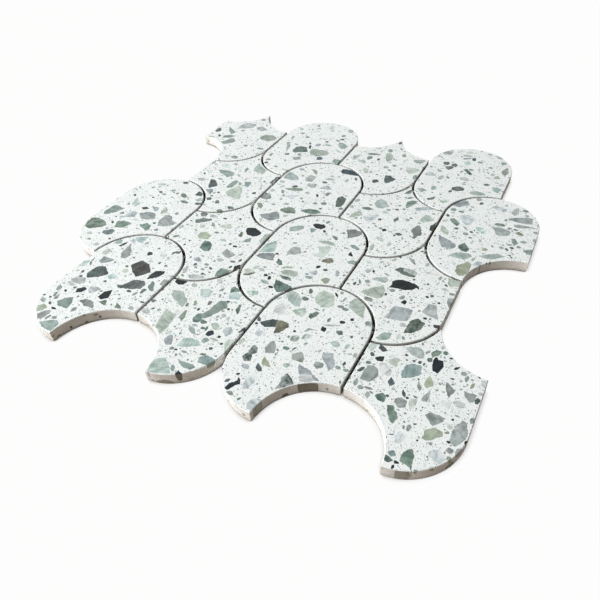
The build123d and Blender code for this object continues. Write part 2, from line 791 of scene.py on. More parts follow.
class Wire:
    """A shader value that can be used in sums."""

    def __init__(self, shader: Shader, socket: bpy.types.NodeSocket) -> None:
        """Wrap one output socket."""
        self.shader = shader
        self.socket = socket

    def _sum(self, operation: str, first: Any, second: Any) -> Wire:
        """Return the result of one Math node."""
        node = self.shader.add("ShaderNodeMath", {"operation": operation}, {0: first, 1: second})
        return Wire(self.shader, node.outputs[0])

    def __add__(self, other: Wire | float) -> Wire:
        """Add a value."""
        return self._sum("ADD", self, other)

    __radd__ = __add__

    def __sub__(self, other: Wire | float) -> Wire:
        """Take a value away."""
        return self._sum("SUBTRACT", self, other)

    def __rsub__(self, other: Wire | float) -> Wire:
        """Take this away from a value."""
        return self._sum("SUBTRACT", other, self)

    def __mul__(self, other: Wire | float) -> Wire:
        """Multiply by a value."""
        return self._sum("MULTIPLY", self, other)

    __rmul__ = __mul__

    def __abs__(self) -> Wire:
        """Drop the sign."""
        return self._sum("ABSOLUTE", self, 0.0)


class Shader:
    """The nodes of one material, or of the surroundings."""

    def __init__(self, owner: bpy.types.Material | bpy.types.World) -> None:
        """Start with no nodes."""
        self.owner = owner
        self.owner.use_nodes = True
        self.tree = self.owner.node_tree
        self.tree.nodes.clear()

    @classmethod
    def named(cls, name: str) -> Shader:
        """Return the nodes of a new material."""
        return cls(bpy.data.materials.new(name))

    def add(
        self, kind: str, settings: dict[str, Any] | None = None, sockets: dict[Any, Any] | None = None
    ) -> bpy.types.Node:
        """Add a node.

        Args:
            kind: The node's type.
            settings: Its settings, which are set first.
            sockets: Values or links of its inputs, by name or number.

        Returns:
            The node.
        """
        node = self.tree.nodes.new(kind)
        for name, value in (settings or {}).items():
            setattr(node, name, value)
        for key, value in (sockets or {}).items():
            socket = node.inputs[key]
            if isinstance(value, Wire):
                self.tree.links.new(value.socket, socket)
            else:
                socket.default_value = value
        return node

    def wire(
        self, kind: str, output: str | int, settings: dict[str, Any] | None = None,
        sockets: dict[Any, Any] | None = None,
    ) -> Wire:
        """Add a node and return one of its outputs."""
        return Wire(self, self.add(kind, settings, sockets).outputs[output])

    def millimetres(self) -> Wire:
        """Return the place on the piece in millimetres."""
        place = self.wire("ShaderNodeTexCoord", "Object")
        return self.wire("ShaderNodeVectorMath", 0, {"operation": "SCALE"}, {0: place, "Scale": 1 / MM})

    def noise(self, place: Wire, waves: float, detail: float = 2.0) -> Wire:
        """Return cloudy noise from 0 to 1, with so many waves to the millimetre."""
        sockets = {"Vector": place, "Scale": waves, "Detail": detail}
        return self.wire("ShaderNodeTexNoise", 0, None, sockets)

    def ease(self, value: Wire, low: float, high: float) -> Wire:
        """Return a smooth step from 0 at one value to 1 at the other."""
        settings = {"interpolation_type": "SMOOTHSTEP"}
        return self.wire("ShaderNodeMapRange", 0, settings, {0: value, 1: low, 2: high})

    def blend(self, share: Wire, first: Any, second: Any) -> Wire:
        """Return one colour mixed into another by a share."""
        return self.wire("ShaderNodeMix", 2, {"data_type": "RGBA"}, {0: share, 6: first, 7: second})

    def bump(self, height: Wire, strength: float, depth: float) -> Wire:
        """Return the slope of a rough surface, with its depth in millimetres."""
        sockets = {"Height": height, "Strength": strength, "Distance": depth * MM}
        return self.wire("ShaderNodeBump", 0, None, sockets)

    def height(self, place: Wire) -> Wire:
        """Return the height above the sheet's underside in millimetres."""
        return self.wire("ShaderNodeSeparateXYZ", 2, None, {0: place})

    def sawn_edge(self, height: Wire, plan: SheetPlan) -> Wire:
        """Return 1 on the sawn edges and 0 on the face."""
        return 1 - self.ease(height, plan.face - plan.sawn_fully, plan.face - plan.sawn_from)

    def closed_in(self, reach: float, samples: int = 4) -> Wire:
        """Return how far things within a reach in millimetres shut the surface in, from 0 in the open."""
        sockets = {"Distance": reach * MM}
        return 1 - self.wire("ShaderNodeAmbientOcclusion", "AO", {"samples": samples}, sockets)

    def close(self, sockets: dict[str, Any]) -> bpy.types.Material:
        """Finish the material with a surface of these values."""
        surface = self.wire("ShaderNodeBsdfPrincipled", 0, None, sockets)
        self.add("ShaderNodeOutputMaterial", None, {"Surface": surface})
        return self.owner


@dataclass(frozen=True)
class Pattern:
    """A layer of noise: its waves to the millimetre, its detail, where it sets in and is full, its share."""

    waves: float
    detail: float
    span: Span
    share: float = 1.0

    def noise(self, shader: Shader, place: Wire) -> Wire:
        """Return the bare noise of the layer."""
        return shader.noise(place, self.waves, self.detail)

    def shown(self, shader: Shader, noise: Wire) -> Wire:
        """Return how much of the layer shows at each value of the noise."""
        return shader.ease(noise, *self.span) * self.share


@dataclass(frozen=True)
class JointShade:
    """Painted shade on the sawn edges of a joint, darker where ambient occlusion finds a wall near.

    Reach is how near a wall has to be, and shut where its nearness starts to count and counts fully.
    The painted shade is full at a depth below the face and would end at a height above it.
    """

    tint: Tint
    reach: float = 3.0
    shut: Span = (0.15, 0.50)
    depth: float = 3.2
    rise: float = 1.2

    def painted_joint_shade(self, shader: Shader, height: Wire, face: float) -> Wire:
        """Return how much painted shade an edge gets: little at the face, most deep in a joint."""
        shut = shader.ease(shader.closed_in(self.reach), *self.shut)
        return shut * (1 - shader.ease(height, face - self.depth, face + self.rise))


@dataclass(frozen=True)
class HonedCement:
    """White cement with marble dust, honed on the face and sawn on the edges."""

    plan: SheetPlan
    face: Tint = (248, 252, 250)
    dust_and_joint_shade: Tint = (206, 212, 210)
    grit: Tint = (86, 92, 92)
    sawn: Tint = (250, 250, 248)
    # Tint of the sawn streaks, and of the painted shade at the foot of the edges
    stain: Tint = (198, 190, 175)
    # Colour of the painted shade deep in the joints
    joint_shade: JointShade = JointShade((99, 99, 84))
    cloud: Pattern = Pattern(0.09, 3.0, (0.45, 0.75), 0.12)
    fine: Pattern = Pattern(1.5, 2.0, (0.48, 0.70), 0.45)
    streak: Pattern = Pattern(0.22, 4.0, (0.42, 0.70), 0.25)
    grit_cells: float = 1.1
    grit_reach: Span = (0.20, 0.45)
    grit_luck: Span = (0.55, 0.85)
    grit_sawn: float = 0.5
    # Painted shade: the sawn edges grow darker towards the underside over this span of height
    foot: Span = (0.2, 2.5)
    foot_painted_shade: float = 0.08
    roughness: float = 0.45
    roughness_fine: float = 0.12
    roughness_sawn: float = 0.25
    bump_strength: float = 0.25
    bump_depth: float = 0.2
    gloss: float = 0.2

    def build(self) -> bpy.types.Material:
        """Return the material of the chips' cement."""
        shader = Shader.named("honed_cement")
        place = shader.millimetres()
        height = shader.height(place)
        cloud = self.cloud.noise(shader, place)
        fine = self.fine.noise(shader, place)

        cells = shader.add("ShaderNodeTexVoronoi", None, {"Vector": place, "Scale": self.grit_cells})
        luck = shader.add("ShaderNodeSeparateColor", None, {0: Wire(shader, cells.outputs["Color"])})
        near = 1 - shader.ease(Wire(shader, cells.outputs["Distance"]), *self.grit_reach)
        chosen = shader.ease(Wire(shader, luck.outputs[0]), *self.grit_luck)
        darker = Wire(shader, luck.outputs[1])

        cement = shader.blend(self.fine.shown(shader, fine), paint(*self.face), paint(*self.dust_and_joint_shade))
        cement = shader.blend(self.cloud.shown(shader, cloud), cement, paint(*self.dust_and_joint_shade))
        speck = shader.blend(darker, paint(*self.dust_and_joint_shade), paint(*self.grit))
        cement = shader.blend(near * chosen, cement, speck)

        edge = shader.sawn_edge(height, self.plan)
        streak = self.streak.noise(shader, place)
        # Painted shade at the foot of the sawn edges, added to the sawn streaks
        foot_low, foot_high = self.foot
        foot = 1 - shader.ease(height, self.plan.underside + foot_low, self.plan.underside + foot_high)
        streaks_and_foot_shade = self.streak.shown(shader, streak) + foot * self.foot_painted_shade
        sawn = shader.blend(streaks_and_foot_shade, paint(*self.sawn), paint(*self.stain))
        sawn = shader.blend(near * chosen * self.grit_sawn, sawn, speck)
        # Painted shade: the sawn edges darken deep in the joints, by ambient occlusion
        painted_joint_shade = self.joint_shade.painted_joint_shade(shader, height, self.plan.face)
        sawn = shader.blend(painted_joint_shade, sawn, paint(*self.joint_shade.tint))

        sockets = {
            "Base Color": shader.blend(edge, cement, sawn),
            "Roughness": self.roughness + fine * self.roughness_fine + edge * self.roughness_sawn,
            "Normal": shader.bump(fine * edge, self.bump_strength, self.bump_depth),
            "Specular IOR Level": self.gloss,
        }
        return shader.close(sockets)


@dataclass(frozen=True)
class HonedStone:
    """Crushed marble, serpentine and slate, honed with the face: its colours come with each stone."""

    plan: SheetPlan
    vein: Tint = (214, 222, 216)
    dark: Tint = (58, 64, 62)
    stain: Tint = (190, 180, 164)
    stain_share: float = 0.45
    # Colour of the painted shade deep in the joints
    joint_shade: JointShade = JointShade((96, 93, 80))
    joint_shade_share: float = 0.8
    cloud: Pattern = Pattern(0.20, 3.0, (0.38, 0.62))
    blotch: Pattern = Pattern(0.42, 3.0, (0.56, 0.72), 0.35)
    fine: Pattern = Pattern(1.4, 2.0, (0.50, 0.72), 0.6)
    band_stretch: Triple = (0.08, 0.50, 0.20)
    pale_band: Pattern = Pattern(1.0, 3.0, (0.50, 0.62), 0.4)
    dark_band: Span = (0.38, 0.48)
    dark_band_share: float = 0.35
    vein_waves: float = 0.13
    vein_detail: float = 4.0
    vein_width: float = 0.03
    roughness: float = 0.38
    roughness_fine: float = 0.12
    roughness_sawn: float = 0.3
    gloss: float = 0.15

    def build(self) -> bpy.types.Material:
        """Return the material of all stones."""
        shader = Shader.named("honed_stone")
        place = shader.millimetres()
        first = shader.wire("ShaderNodeAttribute", "Color", {"attribute_name": COLOUR_LAYER})
        second = shader.wire("ShaderNodeAttribute", "Color", {"attribute_name": SECOND_LAYER})
        grain = shader.wire("ShaderNodeAttribute", "Vector", {"attribute_name": GRAIN_LAYER})
        parts = shader.add("ShaderNodeSeparateXYZ", None, {0: grain})
        offset, cloudy, veined = (Wire(shader, socket) for socket in parts.outputs)
        own = shader.wire("ShaderNodeVectorMath", 0, {"operation": "ADD"}, {0: place, 1: offset})

        around = {"rotation_type": "Z_AXIS"}
        turned = shader.wire("ShaderNodeVectorRotate", 0, around, {"Vector": own, "Angle": offset})
        stretch = {0: turned, 1: self.band_stretch}
        bands = shader.wire("ShaderNodeVectorMath", 0, {"operation": "MULTIPLY"}, stretch)
        band = self.pale_band.noise(shader, bands)
        cloud = self.cloud.noise(shader, own)
        blotch = self.blotch.noise(shader, own)
        fine = self.fine.noise(shader, own)
        wander = shader.noise(own, self.vein_waves, self.vein_detail)
        vein = 1 - shader.ease(abs(wander - 0.5), 0.0, self.vein_width)
        in_dark_band = (1 - shader.ease(band, *self.dark_band)) * self.dark_band_share
        mixed = shader.blend(self.cloud.shown(shader, cloud) * cloudy, first, second)
        mixed = shader.blend(self.blotch.shown(shader, blotch) * cloudy, mixed, paint(*self.dark))
        mixed = shader.blend(self.pale_band.shown(shader, band) * cloudy, mixed, second)
        mixed = shader.blend(in_dark_band * cloudy, mixed, paint(*self.dark))
        mixed = shader.blend(self.fine.shown(shader, fine) * cloudy, mixed, second)
        mixed = shader.blend(vein * veined, mixed, paint(*self.vein))

        height = shader.height(place)
        edge = shader.sawn_edge(height, self.plan)
        mixed = shader.blend(edge * self.stain_share, mixed, paint(*self.stain))
        # Painted shade: the stones' sawn edges darken deep in the joints, by ambient occlusion
        painted_joint_shade = self.joint_shade.painted_joint_shade(shader, height, self.plan.face)
        mixed = shader.blend(painted_joint_shade * edge * self.joint_shade_share, mixed, paint(*self.joint_shade.tint))
        sockets = {
            "Base Color": mixed,
            "Roughness": self.roughness + fine * self.roughness_fine + edge * self.roughness_sawn,
            "Specular IOR Level": self.gloss,
        }
        return shader.close(sockets)


@dataclass(frozen=True)
class GlassNet:
    """Glass-fibre strands of the backing net, stiff with glue."""

    fibre: Tint = (226, 230, 226)
    glue: Tint = (198, 194, 180)
    # Colour of the net's painted shade where it lies in the joints
    dust_and_joint_shade: Tint = (50, 50, 42)
    patches: Pattern = Pattern(0.12, 3.0, (0.4, 0.7))
    joint_reach: float = 4.0
    joint_shut: Span = (0.15, 0.60)
    thread_pitch: float = 0.18
    thread_strength: float = 0.4
    thread_depth: float = 0.1
    roughness: float = 0.45
    roughness_glue: float = 0.2

    def build(self) -> bpy.types.Material:
        """Return the material of the net."""
        shader = Shader.named("glass_net")
        place = shader.millimetres()
        thread = shader.noise(place, 1 / self.thread_pitch)
        patches = self.patches.noise(shader, place)
        colour = shader.blend(self.patches.shown(shader, patches), paint(*self.fibre), paint(*self.glue))
        # Painted shade: the strands darken in the joints, by ambient occlusion
        shut = shader.ease(shader.closed_in(self.joint_reach), *self.joint_shut)
        sockets = {
            "Base Color": shader.blend(shut, colour, paint(*self.dust_and_joint_shade)),
            "Roughness": self.roughness + patches * self.roughness_glue,
            "Normal": shader.bump(thread, self.thread_strength, self.thread_depth),
        }
        return shader.close(sockets)


@dataclass(frozen=True)
class Lamp:
    """One soft lamp: where it hangs, how wide it is and how strong, in metres and watts."""

    name: str
    place: Triple
    width: float
    power: float
    tint: Triple = (1.0, 1.0, 1.0)

    def build(self) -> None:
        """Hang the lamp, turned towards the sheet."""
        light = bpy.data.lights.new(self.name, "AREA")
        light.shape = "DISK"
        light.size = self.width
        light.energy = self.power
        light.color = self.tint
        lamp = bpy.data.objects.new(self.name, light)
        lamp.location = self.place
        lamp.rotation_euler = (-Vector(self.place)).to_track_quat("-Z", "Y").to_euler()
        bpy.context.scene.collection.objects.link(lamp)


@dataclass(frozen=True)
class Studio:
    """White floor, white surroundings, lamps and the camera of the photograph."""

    floor_size: float = 6.0
    floor_drop: float = 0.0002
    floor_matt: Tint = (150, 127, 97)
    floor_clear: float = 0.98
    floor_shade_reach: float = 6.0
    floor_open: Span = (0.30, 0.55)
    ambient: float = 0.25
    camera_place: Triple = (0.16851, -0.30145, 0.23840)
    camera_turn: Triple = (46.252, 1.359, 25.727)
    camera_lens: float = 32.216
    camera_sensor: float = 36.0
    camera_shift: Span = (-0.0460, 0.0302)
    camera_sight: Span = (0.01, 20.0)
    lamps: tuple[Lamp, ...] = (
        Lamp("key_lamp", (-1.75, -1.09, 1.58), 3.0, 93.0),
        Lamp("low_lamp", (-2.6, -0.4, 0.3), 1.2, 29.0, (0.90, 0.985, 1.0)),
    )

    def _seen(self, shader: Shader) -> Wire:
        """Return 1 where the camera, a gloss or a glass looks at the surroundings."""
        path = shader.add("ShaderNodeLightPath")
        names = ("Is Camera Ray", "Is Glossy Ray", "Is Transmission Ray")
        camera, glossy, glass = (Wire(shader, path.outputs[name]) for name in names)
        return camera + glossy + glass

    def build_floor(self) -> None:
        """Lay the floor, which looks white and keeps a faint shadow; near the sheet and under its joints its
        glow is dimmed by ambient occlusion, a painted shade.
        """
        bpy.ops.object.select_all(action="DESELECT")
        bpy.ops.mesh.primitive_plane_add(size=self.floor_size, location=(0, 0, -self.floor_drop))
        floor = bpy.context.object
        floor.name = "studio_floor"
        shader = Shader.named("studio_floor")
        matt = shader.wire("ShaderNodeBsdfDiffuse", 0, None, {"Color": paint(*self.floor_matt)})
        glow = shader.wire("ShaderNodeEmission", 0, None, {"Color": WHITE, "Strength": 1.0})
        # Painted shade: ambient occlusion takes the glow away next to the walls and in the joints
        open_air = shader.ease(1 - shader.closed_in(self.floor_shade_reach), *self.floor_open)
        share = self._seen(shader) * open_air * self.floor_clear
        mixed = shader.wire("ShaderNodeMixShader", 0, None, {0: share, 1: matt, 2: glow})
        shader.add("ShaderNodeOutputMaterial", None, {"Surface": mixed})
        floor.data.materials.append(shader.owner)

    def build_world(self) -> None:
        """Make the surroundings an even white that lights the sheet softly."""
        world = bpy.data.worlds.new("studio_world")
        bpy.context.scene.world = world
        shader = Shader(world)
        strength = self.ambient + self._seen(shader) * (1 - self.ambient)
        sky = shader.wire("ShaderNodeBackground", 0, None, {"Color": WHITE, "Strength": strength})
        shader.add("ShaderNodeOutputWorld", None, {"Surface": sky})

    def build_camera(self) -> None:
        """Set the camera where the photograph was taken from."""
        lens = bpy.data.cameras.new("photo_camera")
        lens.sensor_width = self.camera_sensor
        lens.lens = self.camera_lens
        lens.shift_x, lens.shift_y = self.camera_shift
        lens.clip_start, lens.clip_end = self.camera_sight
        camera = bpy.data.objects.new("photo_camera", lens)
        camera.location = self.camera_place
        camera.rotation_euler = Euler([math.radians(turn) for turn in self.camera_turn], "XYZ")
        bpy.context.scene.collection.objects.link(camera)
        bpy.context.scene.camera = camera

    def build(self) -> None:
        """Set up the whole studio."""
        self.build_floor()
        self.build_world()
        self.build_camera()
        for lamp in self.lamps:
            lamp.build()
        bpy.context.scene.view_settings.view_transform = "Standard"


# The listed stones of each chip, one to a row, as read_stone takes them
BEDS: dict[str, str] = {
    "domed_chip_1_1": """
        UMBER 4.3,6 11,4.2 17.5,-2 11.4,-9.9 6,-6.5 .3,-1.5 2.3,3
        SLATE*0.66 20.9,.5 26.2,2.7 27.1,-.6 25,-4.7 20.4,-8.8 19.6,-3.8
        SLATE*1.14 5.5,-21.5 9.1,-21.1 12.7,-13.4 20,-11.5 22.7,-13.8 22.7,-18.8 18.2,-21.1 8.2,-23.8
        TEAL*0.88 25.5,-9.3 27.7,-10.2 32.3,-17 30,-17.6 26.4,-14.7
        TEAL*0.75 25,-18.4 27.3,-17.9 26.8,-22 25.3,-22.5
        SLATE -20,-11.5 -15.5,-10.2 -8.2,-15.6 -11.8,-20.2 -18.2,-24.5 -21.8,-21.1 -21.4,-16.5
        PALE_GREY*0.97 -27.3,-30.2 -24.5,-26.1 -19.5,-25.6 -16.2,-29.7 -19.1,-31.8 -25.5,-31.8
        BLACK*1.2 -15.9,-36.1 -12.7,-32.9 -10.2,-34.3 -11.4,-37.5 -14.5,-39.3
        PALE_GREY -9.3,-30.2 -3.6,-29.5 -.9,-30.6 -5.5,-36.1 -8.6,-33.8
        BLACK 6.4,-27.9 7.7,-31.1 9.1,-34.7 5.9,-37.6 2.5,-36.5 3.2,-31.5
        GREEN 6.4,-40.2 10,-37.3 12.7,-41.1 10.9,-41.5
        GREEN 18.2,-36.5 22.7,-38.4 24.5,-39.7 20,-40.2
        GREY*0.86 -5.9,-44.7 -2.7,-41.8 3.6,-42.5 7.5,-47 0,-46.7
        TEAL*0.95 -18.9,-51.1 -16.8,-47.5 -12.3,-44.3 -9.5,-48.4 -8,-53.8 -15.5,-53.8
        GREY -4.5,-51.5 -2.7,-50.6 -1.6,-52.9 -3.6,-55.2
        OLIVE*1.13 -27.7,-59.7 -24.5,-57 -20.9,-58.4 -21.8,-62 -24.5,-63.4
        LAVENDER -21.4,-65.6 -19.5,-61.5 -16.2,-59.7 -15,-62.9 -15.9,-67.9 -18.2,-68.4
        TEAL*1.1 -14.5,-70.2 -8.6,-66.1 -5,-65.2 -2,-67 -1.8,-73.8 -9.1,-72.9
        LAVENDER -17.7,18.9 -13.6,14.4 -8.6,7.5 -9.5,3.5 -12.7,2.5 -15.9,7.1
        PALE_TEAL -18.9,27.1 -10.9,30.7 -10.7,23 -13.6,23 -18.2,24.8
        PALE_GREY -20.5,24.4 -17.3,23.5 -14.1,19.4 -18.2,20.7
        SAGE -29.5,20.7 -26.4,19.4 -24.5,16.2 -29.1,14.2
        SLATE -21.4,19.4 -20.7,17.5 -21.8,13 -24.1,13.5
        BLACK*1.3 1.5,16.2 4.1,16.5 5.5,14.5 3.2,12.5
        QUARTZ 9.5,19.8 14.5,19.4 16.8,16.2 13.6,14.8 10.5,17.1
        SLATE*1.1 18.2,23.5 22.7,26.6 22.7,23.5 20,23 19.1,19.8
        PALE_SAGE -29.5,6.2 -26.4,7.5 -25,3.5 -25.5,.3 -29.5,1.2
        GREY -24.5,-1.5 -15.9,-1.3 -16.2,-3.4 -21.4,-7.9 -24.1,-6.5
        TEAL*0.9 -30.5,-4.5 -29,-7 -26,-13.5 -28.8,-11.5
        GREY*1.08 31.4,-4.7 35,-3.8 35,-10.6 31.8,-9.3
        PALE_TEAL*1.12 -34.1,-11.1 -30.9,-9.3 -30.5,-15.6 -33.6,-17
        TEAL -30.5,-37.5 -27.3,-39.3 -26.4,-42.9 -29.1,-42.5
        GREY -23.6,-45.6 -22.3,-46.1 -21.4,-49.7 -23.2,-50.2
        PALE_TEAL -31.8,-52 -27.3,-52.9 -26.8,-56.1 -30,-54.7
        BLACK -16 -57.2 4 1.2
        SLATE -2 -3.5 2.5 1.5
        SLATE 17 9 1.5 2
        SLATE -24 -25 2 1.5
        edge BLACK 12.4 -47.6 1.8 1.2 4.2
        edge BLACK 1.7 -62.4 1.6 0.6 3.4
        PALE_SAGE .5 -8 4 4
        PALE_TEAL*1.1 -3.5 -16.5 6 5 0
        TEAL -25.5 -46.5 5 1.4 -70
        GREY -13 -65 4.5 1.6 80
        GREY -9 -63.5 3 2
        BLACK*1.6 -32 -50 1.3 1.1 0
        BLACK*1.6 -26.5 -50 1.3 1.1 0
        SLATE -22 -54.5 2.6 1.2 -30
        SLATE -22 -41 2.4 1.2 -40
        SLATE 17.5 -24 3 1.5
        GREY 23 -24.5 5 1.5 80
        SLATE 33 -29 3 1
        PALE_GREY 30 -36.5 4 3
        QUARTZ -24 -34 8 4
        SLATE 23 8 1.6 1.4
        GREY -7 24 4 2 85
    """,
    "peaked_chip_1_2": """
        BLACK -32.3,-.6 -30,.7 -25,.3 -25.5,-3.4 -28.2,-4.5 -32.3,-3.4
        SAGE -28.2,-11.1 -24.1,-9.7 -20.9,-9.7 -13.2,-15.6 -12.5,-22 -17.3,-20.2 -25,-15.6 -26.8,-12.9
        SAGE*1.04 -20.6,-27.6 -15.5,-29.3 -10.9,-29.5 -9.8,-40.2 -10,-47.5 -16.4,-43.4 -18.6,-36.5
        PALE_TEAL*1.03 -11.6,-2.9 -7.3,-.4 -3.2,-1.1 -2.5,-6.5 -5,-8.8 -8.2,-7.5
        TEAL*0.96 6.4,-7.5 9.5,-6.1 12.3,-7 14.4,-11.1 10.9,-17.5 9.1,-21.5 6.8,-24.7 3.6,-25.6 \
            3.5,-21.5 5.5,-16.5
        DARK_GREEN*1.22 .9,-23.8 2.7,-21.5 3.4,-24 5.5,-26.2 6.8,-25.9 5,-29.3 1.8,-30 .3,-27
        GREEN*0.85 20,-5.6 21.4,-4.7 24.1,-12.5 23.2,-13.1 21.1,-10.2
        GREEN*1.12 -8.6,-24.7 -7.7,-23.4 -5,-29.7 -5,-32.9 -8.6,-30.6
        BLACK*1.45 15.9,-33.4 18.2,-32 20,-34.3 18.2,-36.5 15.9,-36.1
        PALE_LAVENDER 24.1,-26.1 27.3,-24.7 29.8,-28.8 27.7,-32.5 24.1,-29.7
        SAGE 13.6,-27 16.8,-25.2 19.5,-27.5 19.5,-30.6 16.4,-29.7
        SAGE 1.5,-34 5.5,-34.5 10.8,-38.8 8,-39 4,-37
        SAGE*1.1 5.5,-44.3 10,-42.9 14.5,-42.5 18,-45.2 10.9,-49.7 5.5,-51.5 5.9,-47.5
        LAVENDER -4.1,-46.1 -2.3,-45.2 0,-48.4 1.6,-51.5 -.9,-52.9 -4.4,-50.2
        TEAL*1.06 23.6,-53.4 26.4,-50.6 32.7,-51.1 33.2,-55.6 28.2,-56.5 25,-57
        TEAL 13.6,-60.2 22.7,-59.7 25.5,-60.6 23.6,-63.4 18.2,-62.9
        SAGE*1.07 .3,-65.6 5.5,-62 9.1,-64.7 15.3,-70.2 13.6,-71.1 2.7,-74.7 .9,-71.1
        BLACK*1.3 18.2,-69.3 18.6,-66.5 19.5,-67.5 22.7,-68.4 20,-69.7
        PALE_SAGE 30,-34.7 34.1,-32.9 35,-39.3 35,-44.7 32.7,-41.1
        DARK_GREEN*1.2 6.8,6.6 7.7,8.9 12.3,7.5 13.2,6.2 8.2,2.8
        PALE_TEAL*1.12 8.2,2 16.4,3.9 16.8,-1.1 10.9,-2.9
        PALE_GREY -7.3,10.3 -4.5,11.6 -1.8,8 -5.5,8
        GREY*0.75 .5,-10.2 2.3,-9.7 2.7,-12.5 1.4,-13.4
        OLIVE -8.6,-13.8 -7.3,-13.6 -5.5,-17 -6.8,-17.3
        PALE_LAVENDER -35,-33.8 -32.3,-32 -28.2,-34.7 -31.4,-37
        SLATE*1.25 -34.5,-24.3 -31.8,-23.8 -32.3,-26.1 -34.1,-25.6
        BLACK 16 -11.5 1.4 1.2
        BLACK -1.4 -19.5 1.2 1.8
        BLACK 24.5 -34.5 1.6 1.4
        edge DARK_GREEN -8 -72.5 4 2.6 4
        edge GREY 12 -73.9 12 -2 3
        SAGE -18 -1 4 3
        GREEN 8.5 -27.8 4 3 40
        DARK_GREEN 11 -32.5 2.2 1.5
        GREEN 13.3 -32 3.5 1.2 100
        PALE_GREY 5 -32.5 4 1.8
        TEAL*1.1 18.7 -40.7 4.5 4 0
        SAGE 23 -37.7 6 1.2
        SLATE 25.5 -44.8 2.2 1.4 40
        GREEN 24 -50.5 4 1.4 20
        PALE_SAGE -6 -44.5 4.5 2 60
        GREEN 4.2 -54.2 2.5 2
        BLACK*1.5 7 -54 1.3 1.1 0
        GREY 12.5 -53.3 4 1.5
        TEAL 14.3 -66.5 4.5 2.2 -55
        GREEN -10.6 -18.9 3.5 1.8 100
        GREY 1.5 2.5 4 1.5 70
        BLACK*1.5 12 -5.5 2 1 0
        SAGE 29.2 -21.5 4.5 1.3
        SLATE 33.9 -24 7 1.6 80
        SLATE 29 -39 1.5 1.3
    """,
    "domed_chip_1_3": """
        SAGE*1.1 -8,29.5 -2,29 1.5,24 2.8,18.5 1,16 -3,15 -8,17 -10.5,21 -9.5,27
        SAGE 14,31 17,30 22,26 25,16 20,18 13,22 11.5,26
        PALE_TEAL -29,20 -24,20.5 -18,16 -16,9.5 -19,8.5 -25,12 -29,16
        MINT*0.96 -18.5,4 -12,9.5 -9.5,6 -10,1.5 -14,2.5
        DARK_GREEN -6.5,6 -3.5,9.5 -1.8,8.5 -2.5,5.5 -4,2.3 -6.3,3.5
        SLATE*0.9 -31,-13 -26,-8.5 -21.5,-7.2 -19.8,-12.8 -24,-14 -26.5,-15.5 -30,-14.3
        BROWN*0.95 -22.3,-7.5 -20,-7 -15,-7.5 -13.5,-9.5 -16,-16 -19,-18 -20.3,-13
        BLACK*1.25 5.5,-1 8,-1.5 8.5,-4.5 6,-4
        SLATE*1.28 15,-.5 18,0 19.5,-2 17.5,-3 15.5,-2
        PALE_GREY*0.95 5.5,.6 14,4.5 15.5,4.2 8,.6
        LAVENDER*1.08 15.5,-20 21,-18.5 25,-25 25.5,-28 24,-31 17,-24.5
        GREY*0.98 3.5,-25 6.5,-28 7.5,-32 1.5,-32 -.5,-29
        LAVENDER -15.5,-24 -12.5,-27.5 -11,-32 -15.5,-34 -17.3,-31 -17,-26
        MOTTLED*0.8 -24.6,-31.5 -21.5,-33 -20.3,-36.5 -22.5,-38.5 -25,-37
        MOTTLED*0.86 -24.8,-38 -22.3,-39 -20,-43.2 -23.5,-44.6 -26,-42
        OLIVE -14,-37 -9,-41 -7,-42.5 -13,-42.5
        SLATE -15,-43 -12,-45 -10,-47 -12,-47.8 -14.5,-46
        PALE_GREY*1.14 -13,-52 -10,-55 -11,-61 -13.5,-62.5 -15,-57
        BLACK*1.15 -19.5,-56.5 -18,-58 -16.5,-60.5 -18.5,-62 -20.5,-66.5 -22.8,-66 -21.5,-62 -19.5,-60
        LAVENDER 7,-34 10,-34.6 22.3,-40 20,-41 15.5,-38 10.8,-40.5 8.6,-38
        PALE_LAVENDER*1.05 11.5,-40.2 15.3,-38.4 19.5,-41.2 16.8,-43.3 13,-44.6 11.3,-42.5
        MOTTLED*0.8 4,-43 8,-45.5 10.5,-48 6,-53 3,-55 4,-50 2.5,-47
        PALE_LAVENDER*1.12 -4,-66 0,-65 .5,-72 -4,-73 -5.5,-69
        DARK_GREEN -16 25.5 5 2 115
        DARK_GREEN -16 17.5 4 3
        BLACK 1 29 5 1 -50
        GREY 7.5 27 5 1.4 80
        GREY 8 20 4 3
        TEAL 12 19 4 2.5
        DARK_GREEN 6.5 6 4 1.5 90
        BLACK*1.3 15 7.5 3 2.5 0
        BLACK 19.5 12 2 2
        GREY 30 13 4 4
        PALE_TEAL 19 -11 6 4
        SAGE 26 -10 4 2 90
        SAGE 33 -14.5 3.5 2 90
        SLATE 30 -23 3 1 90
        GREY 17 -30 6 5
        TEAL 28 -27 3 2
        TEAL 33 -27 3 2
        MOTTLED -5 -17 5 5
        OLIVE -0.5 -13 5 2 80
        GREY -2.8,-8.8 -1.5,-6 3.5,-5.2 0,-7 -1.5,-9
        GREEN -6 -26 4 2
        PALE_SAGE -33 -32 6 2.5 90
        PALE_LAVENDER -20 -48 4 3
        SLATE -24 -61 3 1.5 55
        edge SLATE 17.6 -44.2 12 -4 12
        edge UMBER 7.4 -53 6 -1.5 2.6
        QUARTZ -30,3 -27,8 -22,6 -22.5,-1 -28,-2
        QUARTZ -26.5 -22 6 5
        PALE_SAGE 0,-11 3,-10.5 2,-14 .2,-14
        MINT .5 -37.5 4 4
        SLATE -34.7,-9.5 -33,-10.5 -31.8,-12.8 -34,-12.4
        BLACK*1.5 -33 -15.2 1.4 1.2 0
        BLACK*1.5 -8.2 -11.5 1.3 1.2 0
        GREY -4.8 11.5 4.5 1
        GREY 28,14 31,15 32.5,11 29.5,12
        TAUPE -18 -68 4 2
        PALE_LAVENDER -21 -48 4 3
    """,
